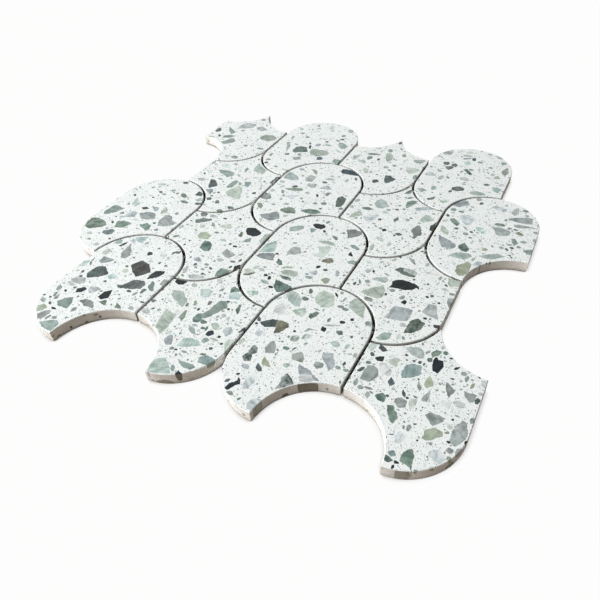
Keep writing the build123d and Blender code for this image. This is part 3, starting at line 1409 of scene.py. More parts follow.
    "peaked_chip_1_4": """
        BLACK 3.5,2.5 4.5,3.3 5.9,1.6 8.2,2.1 9.5,-2 8.2,-7.5 5,-6.5 4.1,-3.4
        GREY*1.17 -14.7,3.5 -8.6,6.4 -4.1,4.8 -2.7,-.2 -5,-1.4 -10,.3
        TEAL*1.05 -9.5,-9.3 -6.4,-7 -1.4,-6.7 -.5,-12.9 -3.6,-16.1 -8.6,-19.3 -10,-14.7
        SLATE -28.6,-.2 -26.4,-1.1 -23.6,-3.4 -25.5,-4.9 -28.2,-3.4
        BLACK*1.2 -27.5,-11.1 -25,-9.3 -23.4,-8.4 -23.2,-12 -25.5,-12.7
        PALE_SAGE -19.8,-10.2 -16.8,-6.5 -14.3,-7 -14.5,-12.9 -18.2,-12
        QUARTZ -24,-14 -20,-13 -16,-17 -15.5,-20 -20,-21
        TAUPE*1.08 -29.3,-18.8 -26.4,-17.3 -23.6,-18.8 -21.2,-23.1 -24.1,-28.8 -29.5,-28.8 -29.8,-23.8
        OLIVE*1.12 4.1,-15.6 5,-11.5 8.6,-16.5 5.9,-20.2 4.1,-18.4
        GREY .5,-17.6 3.2,-21.1 3.2,-24.3 1.4,-21.5
        GREY*0.9 14.4,-12 20.5,-15.6 18.6,-21.8 16.4,-17.5
        GREY*0.9 25,-14 27.7,-14.7 31.8,-13.8 30.9,-18.8 29.5,-19.9 26.4,-17
        PALE_GREY 21.6,-23.8 23.6,-22 27.7,-22 27.7,-24.7 24.5,-25.5
        SLATE*1.1 -14.1,-20.9 -13.5,-22 -11.1,-24.7 -12.7,-27 -14.5,-24.7
        GREY 8.2,-21.5 9.1,-29.3 5.9,-29.3
        DARK_GREEN*1.12 -16.8,-35.6 -14.5,-33.6 -12.3,-34.7 -11.8,-38.8 -15.5,-38.4 -17.3,-36.5
        GREY -6.8,-34.3 -4.1,-32.2 -.9,-33.4 -.2,-37 -3.6,-38.8 -6.4,-36.5
        GREEN*1.05 -9.1,-40.2 -6.8,-39.1 -1.8,-45.2 -2.7,-49.7 -4.5,-48.4 -8.2,-42.5
        GREY 11.1,-37.5 12.7,-35.5 20.9,-35.5 19.1,-39.3 16.4,-42.5
        OLIVE*1.05 14.5,-46.1 17.7,-43.6 21.8,-44.3 22.5,-46.5 19.1,-49.7 16.4,-52 14.1,-51.5
        GREY*1.08 27.3,-37.5 29.5,-33.4 31.8,-33.8 33.8,-41.1 32.7,-45.6 30,-49.5 26.8,-47.9 26.8,-42
        GREEN*1.1 10.5,-60.6 11.8,-60 13.6,-63.8 15.3,-72 13.2,-69.3 8.2,-68.4 8.6,-63.8
        TEAL 1.4,-66.1 3.6,-64.5 5.3,-66.5 3.2,-67.9
        DARK_GREEN*1.1 .9,-68.5 5,-69.7 3.2,-71.5 1.4,-71.1
        QUARTZ 19.5,-57.5 23.6,-55 27.9,-58.5 25.9,-62 20.5,-60
        PALE_GREY*1.13 31.4,-2.9 35,-2.5 35,-7.9 32.7,-5.6
        GREEN*1.05 .5,5.7 2.7,8.5 5.9,8.9 4.5,5.3 1.8,2.5
        PALE_SAGE -34.1,-1.1 -30.5,-1.1 -31.8,-7.5 -34.4,-5.6
        BLACK 17 0.3 4.5 1.2 52
        GREY -1.6 5.2 4 1.4 65
        GREY 21.5 -2.3 3 3
        GREY -30.7 -32.5 5 2 100
        GREY -21.5 -38 4 2 100
        TEAL -27 -34.7 3 2.5
        BLACK 26.5 -48.5 1.5 1
        BLACK 34.5 -45 2 1 60
        BLACK 7 -70 2 1.5
        BLACK 6.3 -73 1 2
        BLACK -1.3 -31 1.2 1
        edge GREY 12 -72.9 8.5 -4 12
        edge TAUPE 30 -57 6 -1 4
        QUARTZ 18 -27.5 8 9
        QUARTZ 3.5 -56.5 5 7
        PALE_SAGE .5,-31 3.5,-30 4,-34 1.5,-36
        GREY 5.8 -48.8 4 2.2 100
        LAVENDER 28.5 -53 3 3
        LAVENDER 32.8 -52 5 3 80
        OLIVE 29.5 -57.5 2.6 2
        SLATE -4 -29 4.5 1.2 -65
        DARK_GREEN 1.2 0 3 2.5 90
        GREEN 8 8.7 3 2.5
        BLACK*1.5 12 6 1.2 1.1 0
        TEAL 24 -5 4 1.5 90
        OLIVE 28.1 -8.7 4.5 1.3 80
        SLATE 16.7 -8.3 2 1
        SLATE 33.2 -17.7 4 2.5 90
        GREY 33.9 -31 4 2 90
        SLATE -30.2 -9.5 3 1.6 -50
        SLATE -31.7 -22.5 5 1.6 60
        GREEN -29.9 -16.3 2.5 2.2
        GREY -22.7 -33.5 4.5 1.2
        SLATE -6.5 -4.5 1.4 1.2
        SLATE -12 -2 1.4 1.2
        SLATE -11.5 -34 1.2 1.2
    """,
    "domed_chip_2_1": """
        DARK_GREEN*1.12 -32.5,-42 -28.2,-40.6 -19.5,-42.5 -16.2,-45.6 -18.2,-49.3 -24.5,-54.3 \
            -30,-53.4 -32.7,-46.5
        SLATE*1.28 -12.3,-52 -9.1,-50.6 -7.7,-48.4 -4.5,-48.8 -3.6,-52.9 -6.4,-55.2 -10.9,-54.7
        GREEN*1.08 -11.1,-37.9 -6.8,-35.6 .9,-36.1 -1.8,-42.9 -8.2,-44.9 -9.5,-41.1
        GREEN*1.12 7.7,-34.7 12.3,-30.6 16.4,-32.5 18.6,-37.5 17.3,-39.3 10.9,-36.5
        GREY*0.98 -2.3,-21.5 3.2,-17.5 9.1,-17.6 13.2,-22.9 9.5,-26.1 3.6,-27.6 0,-24.7
        GREY 18.2,-15.6 23.6,-15.6 27.3,-20.2 32.3,-21.1 31.8,-24.7 26.4,-28.8 21.8,-30.2 18.6,-24.7
        PALE_LAVENDER -10.9,-23.8 -8.2,-21.5 -5,-22.5 -3.5,-27.9 -7.3,-29.7 -11.8,-32
        TEAL -30,-21.1 -26.4,-20.2 -19.5,-22 -22.7,-29.3 -28.2,-34.3 -30.5,-31.1
        PALE_TEAL*1.08 -20.5,-3.8 -16.4,-7.5 -11.8,-11.1 -13.2,-15.6 -17.3,-13.8
        BLACK*1.35 -6.8,-14.7 -3.6,-12.5 -.5,-13.8 -3.6,-16.1
        PALE_LAVENDER -.5,-9.7 6.4,-9.7 7.7,-12.9 5.5,-14.3
        PALE_SAGE*0.92 10.9,-6.5 15.5,-10.2 16.4,-12.9 12.7,-15.6 11.4,-12
        SLATE*1.1 21.1,24.4 26.4,22.5 27.3,18.9 21.8,18.5
        DARK_GREEN*1.05 10,16.2 13.6,16.2 17.1,13.5 15.5,11.2 11.8,12.1
        GREEN 15.6,6.6 19.1,8 23.2,6.6 22.7,4.8 17.3,5.3
        PALE_TEAL 25.9,12.5 29.1,16.6 31.8,13.5 30,10.7
        SLATE 29.5,8.9 33.6,10.3 32.7,7.1 30,6.6
        TEAL 0.5 17 4 3
        SLATE -8 11 4 2 -30
        OLIVE -3 9 4 2
        SLATE -25 -1.5 3.5 1.5 -45
        SLATE 0,32 2,33.2 4.5,32.4 4.5,31 2,30 .5,30.5
        PALE_SAGE -15 21.5 7 4 20
        TAUPE -16 -27.5 4 3
        SLATE -14 -40.5 4 1.2 -40
        GREY 6.5 14.5 3 2 85
        GREY -18.5 14.5 3 1.8 70
        SLATE 17 -28.5 3 1.8 -20
        GREY 24 -35 3 3
        GREY -15 -65 3 1.6
        PALE_SAGE -20 -59 4 3
        PALE_GREY -5 -68 4 4
        PALE_GREY 0 -31 5 1.5 15
        LAVENDER*1.1 -13 -31.5 3 1.5 0
    """,
    "peaked_chip_2_2": """
        BLACK 15,-5.2 18.2,-3.4 20.5,-2.9 23.6,-4.3 27.7,-6.5 27.3,-10.2 24.5,-12.5 19.1,-12 16.4,-9.3
        DARK_GREEN*1.1 -5.3,-32 -1.4,-31.5 2.3,-34.3 4.7,-41.5 1.4,-42.2 -3.6,-40.2
        GREY*1.08 15.5,-33.8 24.7,-37 21.8,-42.5 15,-39.7
        OLIVE*1.12 -14.1,-23.8 -10.9,-22 -5,-24.7 -5,-29.3 -11.8,-30.6 -14.1,-27.5
        TEAL*0.78 -28.2,-11.5 -23.6,-7.5 -17.7,-5.6 -16.2,-7.5 -20,-11.1 -25,-15.2
        GREY*0.85 -29.5,-.2 -24.1,-.6 -24.1,-3.4 -26.8,-5.6 -29.3,-2.9
        GREEN*1.08 24.4,-54.3 31.4,-53.8 30,-59.3 25,-63.4 24.1,-58.4
        PALE_LAVENDER 7.3,-69.7 11.8,-67.5 19.1,-65.6 18.2,-68.8 10.9,-72
        BLACK*1.25 31.8,-48.8 34,-45.8 35,-47 35,-51 33,-52
        PALE_SAGE -6.4,-11.5 -1.8,-6.5 .9,-6.1 3.6,-11.1 -3.6,-12
        TEAL 24.1,-14.7 25.9,-19.7 20.7,-22.5 22.7,-17.5
        GREEN*0.98 13.6,-11.5 15,-11.5 17.1,-17 14.1,-16.5
        SAGE 31.8,-6.5 35,-5.6 35,-18.4 31.8,-15.6
        PALE_LAVENDER*0.93 .5,-52 2.7,-50 6.8,-53.4 5.5,-54.7 .9,-53.8
        GREY*1.1 .5,-62 2.3,-62 3.9,-68.4 2.7,-69.7 .7,-66.5
        GREY*0.92 -14.5,-9.7 -11.8,-10.2 -9.5,-12.5 -11.8,-13.6
        GREY -3.5 -19.5 4 2
        BLACK 19 -28.8 3.5 1.8
        GREY*0.85 27.5 -44.7 4.5 2 0
        SLATE 31.5 -41.5 3.5 1.2 85
        TEAL -28.5 -35.5 5 2.5 40
        PALE_SAGE 6.8 -26 5 2.5
        PALE_GREY -22,-.5 -15,-.5 -16,-3 -20,-3.5
        SLATE -8 -1 3 1.5
        SLATE 3.5 3 2.8 1.4 -50
        PALE_SAGE 8 -7 5 1.5 85
        PALE_SAGE -18 -17 4 4
        PALE_LAVENDER -32.5 -24 5 3 90
        GREY 28 -35.5 3.5 1.6 45
        PALE_SAGE 18 -46.5 5 4
        SLATE 29.3 -50.5 3 1.2 85
        GREY 12.5 -55 3 2
        SLATE 17.5 -57.5 3 1.4 -30
        GREY 13 -60.5 3 1.5
        SLATE 5 -58 2.4 1.8 90
    """,
    "domed_chip_2_3": """
        BLACK -13.6,19.4 -10.9,21.6 -7.3,21.6 -6.4,22.5 -4.1,20.7 -4.1,18 -5.5,16 -10,16.2
        SAGE*0.96 -27.7,9.4 -23.2,13 -19.1,14.8 -18,10.7 -21.4,6.6 -25.9,4.4
        LAVENDER*0.84 13,23 18.2,25.7 23.6,24.8 25.3,22.1 22.7,18 18.2,13.9 15,19.8
        TEAL*1.05 -13.6,13.9 -8.6,14.8 -9.1,10.7 -10,9.4
        TEAL*0.9 5.9,12.1 9.5,11.6 11.8,8.5 10,8
        SAGE*0.98 -.9,1.2 3.6,3.9 9.1,4.4 13.6,1.6 10,.5 2.7,.5
        TEAL*0.95 22.3,6.6 25.5,7.5 30.9,4.8 30,3 25.5,4.4
        BLACK*0.8 26.4,-1.1 27.7,-2 29.8,-5.2 26.4,-4.7
        PALE_SAGE 2.7,-4.7 9.1,-1.1 11.8,-2 11.8,-11.1 10.5,-16.1 3.6,-14.7 6.4,-10.2
        BROWN*1.05 12.5,-16.5 17.3,-12.9 20,-16.1 18.2,-18.8 12.7,-19.3
        PALE_GREY*0.9 -14.1,-13.8 -11.8,-11.5 -9.1,-11.5 -5.3,-16.5 -8.2,-19.7 -11.8,-20.2 \
            -13.2,-23.4 -14.5,-18.4
        TEAL*1.2 -33.2,-16.5 -29.1,-10.6 -26.4,-15.6 -23.8,-22.5 -30,-25.6 -33.6,-27.5 -33.5,-21.1
        LAVENDER*0.93 -31.8,-28.4 -24.5,-24.7 -21.4,-25.6 -19.5,-32 -29.1,-32.7 -32.7,-32
        DARK_GREEN*0.98 -16.8,-28.8 -13.6,-30.2 -11.4,-33.4 -12.7,-34.7 -15.9,-32.5
        OLIVE*1.1 -10,-37.5 -8.2,-34.7 -3.6,-32.5 -3.6,-34.3 -8.2,-37
        SAGE*0.97 -8.2,-40.2 -5.9,-37.5 2.3,-36.5 3.8,-39.7 2.7,-42 -5.5,-42.2
        DARK_GREEN*1.1 -7.3,-44.3 -5,-43.6 0,-43.6 3.2,-46.5 -3.6,-46.4
        DARK_GREEN*1.05 -6.8,-49.3 -2.7,-50.2 5.5,-52 7.3,-52.9 2.7,-58.4 0,-60 -5,-55.6
        PALE_TEAL -16.4,-53.8 -12.7,-52.7 -8.6,-55.2 -13.6,-55.8
        PALE_SAGE -32.3,-48.4 -28.2,-46.5 -24.5,-48.4 -25,-51.5 -30.5,-53.8 -30,-51.5
        MINT -18.6,-67.5 -14.5,-65.6 -11.8,-64.7 -10.9,-67.5 -13.6,-70.6
        OLIVE*0.92 20.9,-37 22.7,-34.3 25.9,-34.3 26.2,-37.9 24.5,-39.7
        PALE_LAVENDER*1.08 9.5,-32.9 13.6,-29.7 15.6,-32.5 14.5,-34.7
        TEAL*1.05 9.5,-37.5 14.5,-36.5 13.6,-39.5 10.5,-39.3
        PALE_GREY*0.9 25.9,-24.7 27.7,-23.8 30,-28.8 28.2,-29.3
        TEAL 28.8,-12 31.8,-9.5 35,-9.3 35,-12.5 30.9,-13.4
        BLACK -1.8 14.5 3 1.5 -55
        BLACK -15.5 -48.2 2.5 2
        BLACK -12 -49.8 4 1.8 -70
        BLACK -6.5 -57.5 3 2
        BLACK 13 -25.5 3 2 70
        SLATE 19 -26.5 3 2
        TEAL -4.5 26.5 4 2.5 80
        SLATE -20.5 -24 2.5 1.5
        PALE_LAVENDER -21.5 -44 4 3
        PALE_SAGE -26 -43.5 4 3 80
        BROWN -30,-53.2 -27,-51.5 -24.5,-48.5 -24,-50.5 -27,-53 -29.5,-54
        GREY 21.5 1.8 3 1.6
    """,
    "peaked_chip_2_4": """
        BLACK*0.88 -6.8,-19.7 -5,-17 -1.8,-15.6 3.6,-15.5 7.7,-16.1 10.5,-17.5 11.6,-20.2 9.1,-19.3 \
            8.2,-21.5 2.7,-24.3 -2.3,-24.7 -6.4,-25.8 -5.6,-22
        GREEN*0.85 -9.5,-6.5 -7.3,-3.4 -4.5,-2.9 -3.6,-6.1 5,-7.5 4.5,-9.7 -1.8,-9.7 -8.6,-7.5
        PALE_GREY -4.5,-2.9 2.7,-2.7 5.3,-4.7 5,-7 -3.6,-5.6
        LAVENDER -5.9,10 -1.8,8.5 .9,4.8 .9,3.3 -2.7,6.2
        PALE_SAGE*0.92 -20.5,-22 -15.9,-18.8 -11.8,-17 -9.8,-20.2 -10.9,-22.5 -18.2,-22.9
        SAGE -21.8,-37.5 -19.5,-33.8 -12.7,-27.5 -11.4,-25.6 -8.2,-29.7 -7.7,-36.5 -10,-39.3 -18.2,-38.8
        PALE_GREY*0.93 2.3,-42.5 7.3,-41.1 14.4,-40.6 14.7,-46.5 14.1,-51.1 8.2,-52.9 .5,-54 1.8,-49.3
        DARK_GREEN*0.88 16.4,-51.1 19.1,-47.5 20.5,-46.7 25.5,-49.3 24.4,-54.7 20.9,-59.3 16.2,-61.5 \
            16.8,-56.5
        PALE_LAVENDER 21.1,-37.5 22.3,-31.1 26.4,-30.4 31.4,-42.5 24.5,-41.1 20.7,-39.7
        SAGE 26.8,-1.1 34.5,-1.1 35,-6.5 29.1,-8.8 27.3,-5.6
        GREY 31.4,-20.6 35,-20.2 35,-29.3 32.7,-25.6
        BLACK*0.8 5.5,-36.5 6.8,-33.8 8.4,-34.7 8.2,-37.5
        SLATE*0.68 30.5,-47.5 34.1,-47 33.6,-49.3 31.4,-49.5
        TEAL*1.1 2.7,-72 5.5,-66.5 9.8,-65.2 10,-69.7 5.5,-72.9
        GREY -17.7,-41.1 -12.7,-40.9 -12,-43.4 -15.9,-43.6
        SLATE*1.2 -17.7,-6.5 -15.5,-2.5 -14.5,-2 -16.2,-6.5
        QUARTZ*1.04 14 -3.5 9 8 0
        PALE_SAGE -29 -6.5 4 2.5
        GREY 4.5 -32 4.5 2.5 70
        GREY -3.8 -28 3.5 2.5
        SAGE 8.6 7 4 2 90
        PALE_GREY 13.5 -55.5 4 3.5
        PALE_SAGE 14.5 -66 6 2 90
        BLACK 24 -44.5 1.8 1.4
        BLACK -22.3 -14.5 2.4 1.2 -70
        SLATE 21.5 -23 2 2
        SLATE 19 -25 1.8 1.8
        TEAL -26.5 -28.5 6 1 -60
        SAGE -14 3 4 2 80
        BLACK*1.4 -11 7.5 1.3 1.2 0
        SAGE 21 -3.5 4 1.6 90
        SLATE 26.7 -9 2 1.2 -50
        PALE_SAGE 27.5 -13.5 5 2
        BLACK*1.5 15.5 -12.5 1.2 1.1 0
        GREY 32.8 -16 3.5 2
        BLACK*1.5 27.5 -27.5 1.4 1 0
        SLATE -29 -31.5 3 1.5 90
        GREY -22 -26 3 3
        PALE_GREY -26 -15.5 4 4
        GREY -13 -14 4 1 -20
    """,
    "peaked_chip_3_1": """
        SLATE -17.3,-30.6 -13.6,-30.2 -8.6,-34.7 -6.4,-37.5 -10,-43.4 -12.7,-41.1
        TEAL -20.5,-13.8 -15.5,-12.9 -10,-12.5 -5.5,-12.9 -3.2,-17.5 -6.4,-22 -11.8,-19.3 -16.4,-17.5
        TEAL*1.04 2.7,-25.6 4.1,-23.8 7.3,-25.2 6.8,-34.7 3.6,-37 1.8,-34.7
        SAGE*1.1 9.5,-33.8 11.4,-30.6 15,-32.5 18.2,-38.4 22.7,-46.5 20.5,-49.3 10.9,-47.5 6.4,-42.9
        TEAL 12.3,-22.9 17.7,-21.5 19.1,-29.3 15.5,-28.4
        SAGE 6.4,9.8 10.9,6.2 19.1,.7 18.6,-5.2 9.1,-3.8 7.7,.7
        TEAL .9,-1.1 2.7,-1.5 4.1,-7.5 2.7,-7.9 1.1,-4.7
        DARK_GREEN 32.7,-5.6 35,-3.8 35,-16.5 32.3,-15.6
        TEAL -11.4,-46.5 -6.8,-44.3 -5,-46.1 -3.6,-51.5 -7.3,-49.3
        SLATE*1.1 -2.7,-57 0,-55.6 1.8,-58.4 -.9,-59.7
        DARK_GREEN*1.1 20,-61.1 24.5,-60.2 26.4,-62.9 22.7,-64.3
        SLATE*1.35 6.4,-57.5 8.6,-57 10.9,-60.2 8.2,-61.5
        PALE_TEAL*1.14 -23.2,-4.7 -18.2,-1.5 -15.5,-8.4 -21.4,-7.9
        GREEN 17.5 -69 5 3
        SLATE 29 -35.5 3 3
        TEAL -32 -4.5 6 2 90
        SAGE 1.4 -15.4 6.4 1.8 -42
        OLIVE 10 -27.2 5.4 2.2 -55
        SAGE 30 -26.4 5.6 1.8 -65
        PALE_SAGE 17 -13.6 3.6 3
        TEAL -10 -27 5 1.8
        PALE_GREY -25 -34 8 3.8
        SLATE -28.4 -24.2 3.4 1.4 -45
        PALE_LAVENDER -12.4 0.4 5.4 2.8
        SLATE 1 -46.4 3 1.8
    """,
    "domed_chip_3_2": """
        BLACK*1.7 7.9,30.3 14.5,30.7 21.8,29.8 25.5,26.2 23.6,23.9 10.9,23 8.2,25.3
        DARK_GREEN*0.82 23.6,-14.7 25.9,-11.1 30.5,-13.8 31.4,-20.2 30.9,-25.6 27.3,-27.3 25,-21.1
        PALE_TEAL*0.93 -32.7,7.5 -27.3,5.3 -22.7,3 -20,-1.1 -23.6,-4.3 -32.7,-3.8
        GREY*1.1 -13.6,9.8 -7.3,8 -7.5,.3 -12.7,-1.1 -14.7,3
        TAUPE*1.13 -17.7,18.5 -13.6,19.4 -10.2,16 -9.1,12 -11.5,13.5 -14,16.5
        PALE_LAVENDER -8.6,-3.8 -1.8,-2 -.9,-7.5 -3.6,-9.1 -8.2,-7.5
        PALE_LAVENDER*0.95 3.2,-7.5 5.5,-2.9 9.5,-1.1 12.7,-5.2 9.1,-6.5
        GREEN*1.15 -23.2,-18.8 -18.2,-15.6 -10,-12.9 -8.2,-15.6 -10.9,-18.4 -20,-19.5
        SLATE -19.1,-13.8 -16.8,-10.6 -14.5,-12.5 -17.3,-14.3
        GREY*0.93 11.8,-14.7 12.3,-11.1 15.5,-10.2 14.5,-15.6
        GREY -35,-31.1 -30,-31.5 -26.4,-36.5 -28.6,-39.7 -34.1,-39.7
        GREEN*1.05 -10.9,-47.9 -6.4,-42.9 -1.8,-42.5 2.3,-48.4 -4.5,-51.1 -9.1,-50.2
        DARK_GREEN*1.15 4.5,-42.9 10,-38.8 17.3,-37.5 20.5,-40.2 14.5,-44.7 6.4,-44.3
        LAVENDER*0.93 -22.3,-61.1 -16.4,-57.5 -12.7,-52.5 -10,-53.4 -5.5,-59.7 -10.9,-65.2 -18.2,-64.3
        OLIVE*0.9 -32.7,-47 -29.1,-46.5 -26.4,-50.2 -25.9,-53.4 -29.1,-52
        QUARTZ*0.93 -17.3,-29.3 -10,-24.7 -6.4,-21.1 -10,-31.1
        BLACK 6.5 -18 4.5 1.6 -55
        SLATE 3 3.2 4 3
        GREY 17 -27 4 4
        GREY -25 15.5 5 3
        PALE_TEAL 19 13 6 2.5 90
        GREY 10.5 -29.5 3 3
        PALE_TEAL -30.5 -10 4 3
        TEAL -22.5 -24 6 2.5 -60
        PALE_LAVENDER 5 9.6 8 2.8 8
        SAGE 4.4 15 3.4 2.4
        SLATE 25 18.4 4.2 1.6 -55
        SAGE -31 -25.6 4.2 3
        PALE_SAGE -27 -17 5 2.6 70
        PALE_GREY -2.6 -17.6 4.4 2.8
        GREY 32.6 -28.4 3.8 3 60
        SAGE -19.6 -44 3.4 2
        PALE_TEAL -10.6 -39.4 5 2.4 20
        PALE_SAGE -3 -55 4 2.6 40
    """,
    "peaked_chip_3_3": """
        PALE_TEAL*0.96 -17.9,-5.6 -15.5,-2.5 -10.9,-4.3 -5.9,-10.2 -10,-14.7 -13.6,-15.6 -17.7,-11.1
        GREEN*1.13 5.5,1.6 7.3,4.8 12.5,5.3 10.9,.7 7.3,-7 5.5,-2.9
        PALE_LAVENDER 13.6,-3.8 19.1,-.6 26.4,1.6 26.8,-1.1 21.8,-3.8 15.5,-7.3
        SAGE*1.05 22.7,-15.6 24.1,-10.2 27.3,-10.2 32.7,-14.7 29.1,-17.5 25.5,-21.3 22.7,-19.3
        TAUPE*0.9 20.9,-32.9 22.7,-27 25,-26.1 26.8,-30.2 29.5,-37.5 27.3,-38.8 26.4,-43.4 24.1,-42.9 \
            24.5,-39.3 21.8,-35.6
        SLATE*0.7 32.3,-23.8 34.1,-17.5 35,-17 35,-28.4 32.7,-28.4
        TEAL*0.88 -25,-19.7 -20.9,-17.9 -15.5,-18.8 -18.2,-21.1 -23.6,-21.5
        SAGE*0.96 -28.2,-31.1 -25,-24.7 -20.5,-29.7 -23.6,-32.9 -28.6,-37.3
        PALE_LAVENDER*1.12 -19.5,-30.6 -13.6,-27 -8.6,-24.7 -10,-32.9 -15,-36.4
        GREEN*0.85 4.1,-25.6 5.5,-21.5 6.8,-24.7 5.5,-29.3
        BLACK .9,-42 2.3,-40.4 4.1,-42 2.3,-43.8
        DARK_GREEN*0.7 11.6,-42.9 13.6,-41.1 16.8,-42.5 14.5,-44.3
        DARK_GREEN*1.1 -1.4,13 .9,19.8 2.7,20.7 2.7,14.4
        TEAL 2.3,6.6 4.5,9.8 8.2,10.3 4.5,6.6
        TEAL -4.5 -15 3.5 3
        SLATE 1.3 -12 3 2
        SLATE -6 -30.2 2.5 2.2
        SLATE 15.3 -19 2 1.5
        TEAL 13.5 -22.3 3 2.5
        PALE_SAGE 12 -57 6 2 90
        PALE_SAGE 2 -65.5 8 3 100
        PALE_LAVENDER*1.08 -6 -19.5 5 4 0
        SAGE -32.6 -12 6.5 2.6 65
        SAGE -32.8 -22 3.4 3
        GREY -0.9 -41 2.8 2
        PALE_GREY*1.05 3.6 -54 6.5 3.4 -35
        GREY -8 -37 2.6 1.8
    """,
    "domed_chip_3_4": """
        LAVENDER -32.7,17.1 -30,20.7 -26.4,22.5 -23.2,21.2 -21.4,16.2 -25.5,13.5 -27.3,10.7 -32.3,11.2
        GREY 10.9,8.9 13.6,12.1 23.6,16.6 27.3,16.6 28.2,8.5 18.2,8
        GREY*1.12 16.4,3.9 20,4.8 27.3,5.1 33.6,4.4 27.3,3 20.9,.3 18.2,.7
        GREY*1.14 1.8,-6.5 5.5,-4.3 10.9,-5.2 16.2,-7 15,-12 10,-15.6 7.3,-13.8 5,-9.3
        GREEN 2.7,-2 4.5,.3 8.2,1.2 10.5,-.2 10,-2 5.5,-2.5
        BROWN 19.1,-7 21.8,-4.7 25.5,-7.5 23.6,-8.8
        TEAL 18.2,-15.6 20.9,-14.7 23.5,-18.8 21.8,-23.4 19.5,-18.4
        TEAL 28.6,-25.6 32.7,-23.8 35,-22.5 35,-27.5 33.6,-30 30,-27.5
        PALE_LAVENDER*1.1 -23.6,-1.1 -18.2,2.5 -11.8,-.2 -13.6,-8.4 -16.4,-11.1 -20,-7.5
        DARK_GREEN*1.15 -29.5,-8.4 -26.8,-6.1 -24.1,-8.4 -21.1,-11.5 -22.3,-15.2 -26.4,-12
        MINT*1.05 -9.1,-11.1 -4.5,-10.2 -.5,-13.8 -.9,-17 -5.5,-15.6
        MINT*0.96 -32.9,-19.3 -30,-20.2 -25.9,-23.8 -25,-28.8 -28.2,-28.8 -31.4,-24.7
        LAVENDER -30.9,-31.1 -28.2,-32.9 -21.8,-35.6 -17.3,-37.5 -15.6,-40.6 -17.7,-44.3 -24.5,-44.7 \
            -28.2,-38.4
        DARK_GREEN -13.6,-37.5 -10.9,-33.8 -8.6,-37.5 -6.2,-40.2 -7.3,-43.8 -10,-43.8 -13.6,-40.6
        SAGE -17.3,-52.9 -14.1,-48.4 -10,-46.1 -3.2,-45.6 -3.2,-48.4 -6.4,-52.9
        SAGE*0.93 2.3,-44.7 7.3,-41.1 13.6,-37.3 18.6,-38.8 14.5,-42 10,-45.6 5.5,-45.6
        PALE_LAVENDER .5,-56.5 2.7,-51.5 5.9,-51.1 5.5,-54.7 1.8,-57
        OLIVE*1.06 -8.6,-62 -5.9,-58.4 -3.2,-54.3 0,-57 0,-64.7 -1.8,-70.2 -5,-71.5 -8.2,-67.5
        PALE_GREY 11.4,18.5 13.6,27.1 15.5,26.6 16.4,20.7 14.5,15.7
        GREY -18.2,28.9 -15.9,30.3 -13.6,28 -16.4,25.5
        SLATE -13 22.8 4 2.5 75
        TEAL -30.5 5.7 4 4
        TEAL -24 5 4 2.5
        SLATE -21.5 -18.5 3 2
        DARK_GREEN -10.2 -18.5 2.2 2.2
        LAVENDER -13.5 -22.3 4 3
        TEAL 14.2 -29 3 2.5
        SLATE 18 -29.7 3.5 1.4 -50
        SLATE 21 -26.5 2.5 2
        GREY -15.5 -15.5 6 1.2 -42
        TEAL 20.8 25.5 5 3
        SLATE 26.8 24.7 3 2.5
        PALE_LAVENDER 34 -11 5 2.5 90
        GREY 33 -1 4 2.5
        OLIVE 4 -36 4 3
        SLATE -9 -26 2.5 1.2
        PALE_LAVENDER*1.1 0 21.5 9 7 0
        PALE_LAVENDER 5.6 19.8 6.5 2.8 70
        GREY 23 19 2.6 2
        PALE_LAVENDER 33.4 9.3 4.6 2.2 90
        TAUPE 14.4 -3.2 3.4 2.4 30
        DARK_GREEN 18.6 -3 3.4 1.8
        GREY -18.8 10.4 3.6 2 80
        SLATE -32.2 -4 3.6 1.8 -60
        PALE_SAGE -32 -11.5 5 2.8 60
        PALE_TEAL 27 -16 4 3
        GREY -0.4 -50.2 5 1.6 75
    """,
    "peaked_chip_4_1": """
        SAGE*0.9 16.4,-18.4 19.1,-13.8 25.5,-12.5 31.4,-15.6 32.3,-20.2 27.3,-25.2 20.9,-24.3 17.3,-22.5
        TEAL -9.1,-33.8 -5.5,-32.9 -1.4,-37.5 -4.5,-42.9 -8.6,-46.1 -13.6,-42.9 -10,-39.3
        TEAL*0.93 -18.2,-31.1 -12.7,-27.5 -8.2,-27.5 -10,-32 -17.3,-35.6
        TEAL -24.5,-12 -19.1,-15.6 -11.8,-20.2 -13.6,-25.6 -19.1,-20.2
        SLATE*1.12 -32.7,-20.2 -31.4,-17.9 -28.6,-20.2 -27.3,-24.7 -30,-27 -32.3,-24.7
        PALE_LAVENDER*0.97 -15,-4.7 -11.8,2.5 -1.8,2.1 -1.4,-4.7 -7.3,-9.3 -14.5,-12.9
        PALE_LAVENDER 2.7,-2 8.2,-.2 15,-4.7 9.1,-8.4 4.5,-6.5
        SLATE -22.5 -32.5 5 2 -50
        GREY -7 -14.5 4 4
        GREY -1 15 5 4
        PALE_SAGE -28 -37.5 8 3
        GREY 15.5 -64.5 7 5
        TEAL 28.5 -41 7 3
        OLIVE 12.5 -41 4 3
    """,
